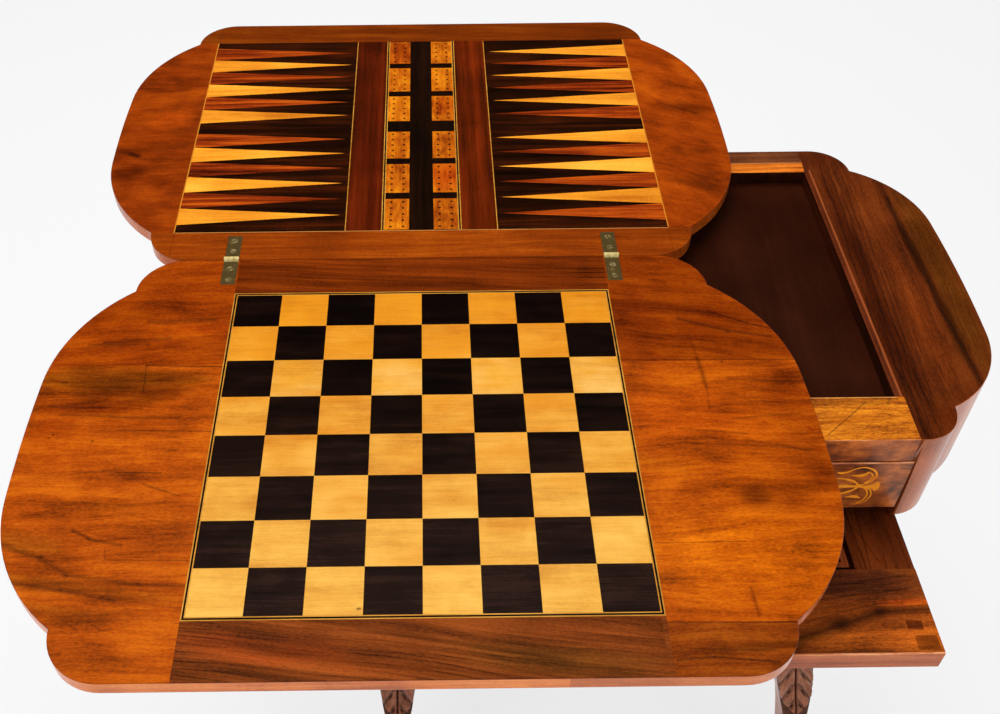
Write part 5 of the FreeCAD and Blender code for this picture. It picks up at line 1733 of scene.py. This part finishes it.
@dataclass
class CarvedLeg:
    """A swept leg with an acanthus leaf carved on its knee and a scrolled foot.

    Widths list half widths by height. In the carving, places along the leaf are shares of its length, and
    places across it are shares of the half width.
    """

    body: str = "stand"
    trestle_x: float = 257.5
    upper: tuple[Plan, ...] = ((64, 198), (97.6, 196), (147.6, 140.6), (178.5, 104.9), (207.1, 61.4),
                               (232, 33.1))
    lower: tuple[Plan, ...] = ((64, 150), (94, 135.8), (132.1, 99.8), (159.5, 61.5), (190.4, 26.3),
                               (227.2, 3))
    widths: tuple[Plan, ...] = ((204, 23.4), (139, 23.4), (122, 19.8), (107, 16), (88, 15), (69.3, 14.6),
                                (39.6, 13), (0, 15.4))
    steps: int = 48
    corner: float = 2.4
    scroll: float = 18.0
    scroll_centre: Plan = (238.0, 16.0)
    scroll_arris: float = 1.6
    leaf_from: float = 26.0
    leaf_to: float = 152.0
    lobes: float = 6.0
    taper_from: float = 0.78
    sweep: float = 1.25
    sunk: float = 0.9
    plump: float = 3.0
    rib: Plan = (0.14, 0.05)
    rib_height: float = 1.1
    vein: float = 0.05
    vein_depth: float = 2.4
    eye: Plan = (0.16, 0.1)
    eye_aside: Plan = (0.42, 0.16)
    eye_depth: float = 2.6
    tip: Plan = (0.93, 0.07)
    tip_height: float = 2.4
    top_samples: int = 56
    side_samples: int = 9

    @staticmethod
    def curve(points: Sequence[Plan], steps: int) -> list[Vector]:
        """A smooth run through points, with the same number of steps in each stretch.

        Args:
            points: the points.
            steps: steps in a stretch.

        Returns:
            The places.
        """
        ends = [Vector(point) for point in points]
        last = len(ends) - 1
        pulls = [(ends[min(i + 1, last)] - ends[max(i - 1, 0)]) / 6 for i in range(last + 1)]
        run = []
        for i in range(last):
            run += interpolate_bezier(ends[i], ends[i] + pulls[i], ends[i + 1] - pulls[i + 1], ends[i + 1],
                                      steps + 1)[:-1]
        return run + [ends[-1]]

    def half_width(self, height: float) -> float:
        """Half of the leg's width at a height.

        Args:
            height: height above the floor.

        Returns:
            The half width.
        """
        for (high, wide), (low, narrow) in zip(self.widths, self.widths[1:]):
            if height >= low:
                share = min(1.0, (height - low) / (high - low))
                return narrow + (wide - narrow) * share
        return self.widths[-1][1]

    def ring(self) -> list[Plan]:
        """Places round a section as shares of its half width and half depth; the top comes first.

        Returns:
            The places in order.
        """
        top = [(-1 + 2 * i / self.top_samples, 1.0) for i in range(self.top_samples)]
        falling = [1 - 2 * i / self.side_samples for i in range(self.side_samples)]
        rising = [-1 + 2 * i / self.side_samples for i in range(self.side_samples)]
        return (top + [(1.0, rise) for rise in falling] + [(across, -1.0) for across in falling]
                + [(-1.0, rise) for rise in rising])

    def relief(self, along: float, across: float) -> tuple[float, float]:
        """Height of the carving and how dark its hollows are painted, at a distance down the knee.

        Args:
            along: the distance.
            across: share of the half width.

        Returns:
            The height, and the dark of its hollows from 0 to 1, for dirt and painted shade.
        """
        place = (along - self.leaf_from) / (self.leaf_to - self.leaf_from)
        if not 0.0 < place < 1.0:
            return 0.0, 0.0
        aside = abs(across)
        taper = max(0.0, (place - self.taper_from) / (1 - self.taper_from))
        reach = 0.99 * (1 - taper ** 2.2)
        part = (self.lobes * place - self.sweep * aside ** 1.3) % 1.0
        lobe = math.sin(math.pi * part)
        edge = reach * (0.86 + 0.14 * lobe ** 0.6)
        inside = min(1.0, max(0.0, (edge - aside) / 0.05)) * min(1.0, place / 0.02)
        vein = bell(across, self.vein)
        eye = bell(part - self.eye[0], self.eye[1]) * bell(aside - self.eye_aside[0] * reach,
                                                           self.eye_aside[1])
        height = 1.2 + self.plump * lobe ** 0.6 * (0.2 + 0.8 * aside / max(reach, 0.2))
        height += self.rib_height * bell(aside - self.rib[0], self.rib[1])
        height += 0.35 * math.cos(6 * math.pi * part) * aside
        height += self.tip_height * bell(place - self.tip[0], self.tip[1]) - self.eye_depth * eye
        seam = (1 - lobe) ** 3 * min(1.0, aside / 0.2)
        # the dark weight of the vein, the seams between lobes, the eyes and the ground round the leaf: dirt
        # and painted shade
        hollow = max(vein, seam, eye, (1 - inside) * 0.8)
        return inside * (height - self.vein_depth * vein) - self.sunk, min(1.0, hollow)

    def in_corner(self, x: float, d: float, wide: float, deep: float) -> tuple[float, float, Vector]:
        """A place on a section: the nearest place of the core, and the way out from it to the round.

        Args:
            x: place across the leg.
            d: place through it.
            wide: half width.
            deep: half depth.

        Returns:
            The nearest place of the core as two numbers, and the way out.
        """
        inner_x = max(-wide + self.corner, min(wide - self.corner, x))
        inner_d = max(-deep + self.corner, min(deep - self.corner, d))
        away = Vector((x - inner_x, d - inner_d))
        if away.length > 1e-6:
            away = away.normalized() * self.corner
        return inner_x, inner_d, away

    def make(self) -> Form:
        """The right front leg.

        Returns:
            The leg.
        """
        form = Form("carved_leg")
        hollow = form.mesh.verts.layers.float.new("hollow")
        above, below = self.curve(self.upper, self.steps), self.curve(self.lower, self.steps)
        ring = self.ring()
        made = bmesh.ops.create_grid(form.mesh, x_segments=len(ring), y_segments=len(above) - 1,
                                     size=1.0)["verts"]
        made.sort(key=lambda corner: (round(corner.co.y, 5), corner.co.x))
        row, length = len(ring) + 1, 0.0
        for i, (high, low) in enumerate(zip(above, below)):
            if i:
                length += (high - above[i - 1]).length
            middle, depth = (high + low) / 2, (high - low) / 2
            ahead = above[min(i + 1, len(above) - 1)] - above[max(i - 1, 0)]
            out = Vector((-ahead.y, ahead.x)).normalized()
            out = -out if out.y < 0 and abs(out.y) > abs(out.x) else out
            for j in range(row):
                across, rise = ring[j % len(ring)]
                wide = self.half_width((middle + depth * rise).y)
                inner_x, inner_d, away = self.in_corner(across * wide, rise * depth.length, wide,
                                                        depth.length)
                corner = made[i * row + j]
                spot = middle + depth.normalized() * (inner_d + away.y)
                if rise == 1.0:
                    height, dark = self.relief(length, across)
                    spot = spot + out * height
                    # the knee's top gets the dark weight of its hollows: dirt, and painted shade
                    corner[hollow] = dark
                corner.co = (self.trestle_x + inner_x + away.x, -spot.x, spot.y)
        bmesh.ops.remove_doubles(form.mesh, verts=form.mesh.verts, dist=0.01)
        bmesh.ops.holes_fill(form.mesh, edges=form.open_edges())
        self.add_scroll(form)
        return form

    def add_scroll(self, form: Form) -> None:
        """The scrolled foot: a drum with a raised spiral on each side, cut level at the floor.

        Args:
            form: the leg.
        """
        wide = self.half_width(0.0)
        middle = Matrix.Translation((self.trestle_x, -self.scroll_centre[0], self.scroll_centre[1]))
        drum = bmesh.ops.create_cone(form.mesh, cap_ends=True, segments=56, radius1=self.scroll,
                                     radius2=self.scroll, depth=2 * wide)["verts"]
        rims = {edge for corner in drum for edge in corner.link_edges
                if at(edge.verts[0].co.z, edge.verts[1].co.z, 0.01) and edge.calc_face_angle(0.0) > 1.0}
        bmesh.ops.transform(form.mesh, matrix=middle @ Matrix.Rotation(math.pi / 2, 4, "Y"), verts=drum)
        form.ease(rims, self.scroll_arris, 3)
        for side in (-1, 1):
            form.take(self.spiral(side, wide))
        for corner in form.mesh.verts:
            corner.co.z = max(corner.co.z, 0.0)

    def spiral(self, side: float, wide: float, count: int = 22) -> bpy.types.Mesh:
        """The raised spiral of one side of the foot, two turns inwards from its rim.

        Args:
            side: the side, 1 or -1.
            wide: half width of the foot.
            count: points along it.

        Returns:
            Its mesh.
        """
        drawing = bpy.data.curves.new("spiral_drawing", "CURVE")
        drawing.dimensions, drawing.bevel_depth, drawing.bevel_resolution = "3D", 1.5, 2
        drawing.use_fill_caps = True
        spline = drawing.splines.new("NURBS")
        spline.points.add(count - 1)
        for i, point in enumerate(spline.points):
            share = i / (count - 1)
            angle = math.radians(100 + 700 * share)
            radius = self.scroll * (0.9 - 0.72 * share)
            point.co = (self.trestle_x + side * wide,
                        -self.scroll_centre[0] - radius * math.cos(angle),
                        self.scroll_centre[1] + radius * math.sin(angle), 1.0)
            point.radius = 1.0 - 0.35 * share
        spline.order_u = 3
        spline.use_endpoint_u = True
        drawing.resolution_u = 3
        return drawn(drawing)

    def build(self) -> None:
        """The four legs."""
        for front, y in (("front", 1.0), ("back", -1.0)):
            for side, x in (("right", 1.0), ("left", -1.0)):
                form = self.make()
                form.name = "carved_leg_" + front + "_" + side
                bmesh.ops.scale(form.mesh, vec=(x, y, 1.0), verts=form.mesh.verts)
                form.piece(self.body, "carved_walnut", [Finishes.carved],
                           ["leg_" + front + "_" + side], smooth=50.0)


# -------------------------------------------------------------------------------------------------- studio
@dataclass(frozen=True)
class Lamp:
    """A soft rectangular lamp; mirrored says whether the polish shows it."""

    name: str
    spot: Point
    aim: Point
    size: Plan
    power: float
    mirrored: bool = False

    def build(self) -> None:
        """Sets the lamp up."""
        light = bpy.data.lights.new(self.name, "AREA")
        light.shape = "RECTANGLE"
        light.size, light.size_y = self.size[0] * MM, self.size[1] * MM
        light.energy = self.power
        lamp = linked(self.name, light)
        lamp.location = Vector(self.spot) * MM
        lamp.rotation_euler = (Vector(self.spot) - Vector(self.aim)).to_track_quat("Z", "Y").to_euler()
        lamp.visible_glossy = self.mirrored


@dataclass
class Studio:
    """Floor, soft lights and the camera."""

    floor_half: float = 30000.0
    floor_tone: float = 0.86
    backdrop: float = 0.93
    blue: float = 1.01
    shadow_share: float = 0.22
    ambient: float = 0.5
    veil: float = 0.16
    dim: float = 0.004
    eye: Point = (-209.9, -865.0, 1477.8)
    eye_turn: Point = (44.530, 0.372, -0.557)
    lens: float = 40.565
    sensor: float = 36.0
    sideways: float = 0.067
    lamps: tuple[Lamp, ...] = (
        Lamp("overhead", (-500, 900, 3300), (-100, 0, 600), (2600, 2000), 78),
        Lamp("left_fill", (-2600, -1500, 1900), (0, 0, 600), (1500, 1500), 26),
        Lamp("front_fill", (300, -3000, 800), (0, 0, 500), (2200, 900), 16),
        Lamp("edge_light", (2300, -1500, 1700), (0, -100, 600), (500, 900), 9, True))

    def build_floor(self) -> None:
        """A pale floor that keeps a soft shadow and stays white to the eye and in reflections."""
        sheet = bmesh.new()
        bmesh.ops.create_grid(sheet, x_segments=1, y_segments=1, size=self.floor_half * MM)
        mesh = bpy.data.meshes.new("studio_floor")
        sheet.to_mesh(mesh)
        sheet.free()
        made = bpy.data.materials.new("studio_floor")
        made.use_nodes = True
        paint = Paint(made.node_tree)
        matt = paint.node("BsdfDiffuse", {}, {"Color": (self.floor_tone,) * 3})
        glow = paint.node("Emission", {},
                          {"Color": (self.backdrop, self.backdrop, self.backdrop * self.blue)})
        camera, glossy, through = paint.rays()
        seen = (camera + glossy + through).held() * (1 - self.shadow_share)
        both = paint.node("MixShader", {}, {0: seen, 1: matt.outputs[0], 2: glow.outputs[0]})
        paint.node("OutputMaterial", {}, {"Surface": both.outputs[0]})
        mesh.materials.append(made)
        linked("studio_floor", mesh)

    def build_world(self) -> None:
        """White to the eye, an even soft light on the table, and a low pale horizon in its polish."""
        world = bpy.data.worlds.new("studio")
        bpy.context.scene.world = world
        world.use_nodes = True
        paint = Paint(world.node_tree)
        camera, glossy, through = paint.rays()
        _, forward, up = paint.parts(paint.node("TexCoord").outputs["Object"])
        horizon = 1 - up.eased(0.02, 0.2)
        overhead = up.eased(0.76, 0.9) * (1 - up.eased(0.93, 0.99)) * forward.eased(0.0, 0.3)
        mirrored = horizon * self.backdrop + overhead * self.veil + self.dim
        level = (camera + through).held() * self.backdrop + glossy * mirrored
        level = level + (1 - (camera + through + glossy).held()) * self.ambient
        sky = paint.node("Background", {}, {"Color": WHITE, "Strength": level})
        paint.node("OutputWorld", {}, {"Surface": sky.outputs[0]})

    def build_camera(self) -> None:
        """The camera, with the small sideways shift of a cropped frame."""
        lens = bpy.data.cameras.new("eye")
        lens.sensor_width, lens.lens, lens.shift_x = self.sensor, self.lens, self.sideways
        lens.clip_start = 0.01
        eye = linked("eye", lens)
        eye.location = Vector(self.eye) * MM
        eye.rotation_euler = [math.radians(angle) for angle in self.eye_turn]
        bpy.context.scene.camera = eye

    def build(self) -> None:
        """Everything round the table."""
        bpy.context.scene.view_settings.view_transform = "Standard"
        self.build_camera()
        self.build_floor()
        self.build_world()
        for lamp in self.lamps:
            lamp.build()
        log.info("studio ready")


def main() -> None:
    """Builds the studio and the looks of each sub-assembly."""
    logging.basicConfig(level=logging.INFO, format="%(name)s: %(message)s")
    Studio().build()
    dress_nodes()
    hinges = Hinges()
    hinges.build()
    pockets = hinges.pockets()
    ChessLeaf().build(pockets)
    PointsLeaf().build(pockets)
    pockets.mesh.free()
    Case().build()
    DrawerFront().build()
    Marquetry().build()
    WorkSlide().build()
    CarvedLeg().build()


if __name__ == "__main__":
    main()
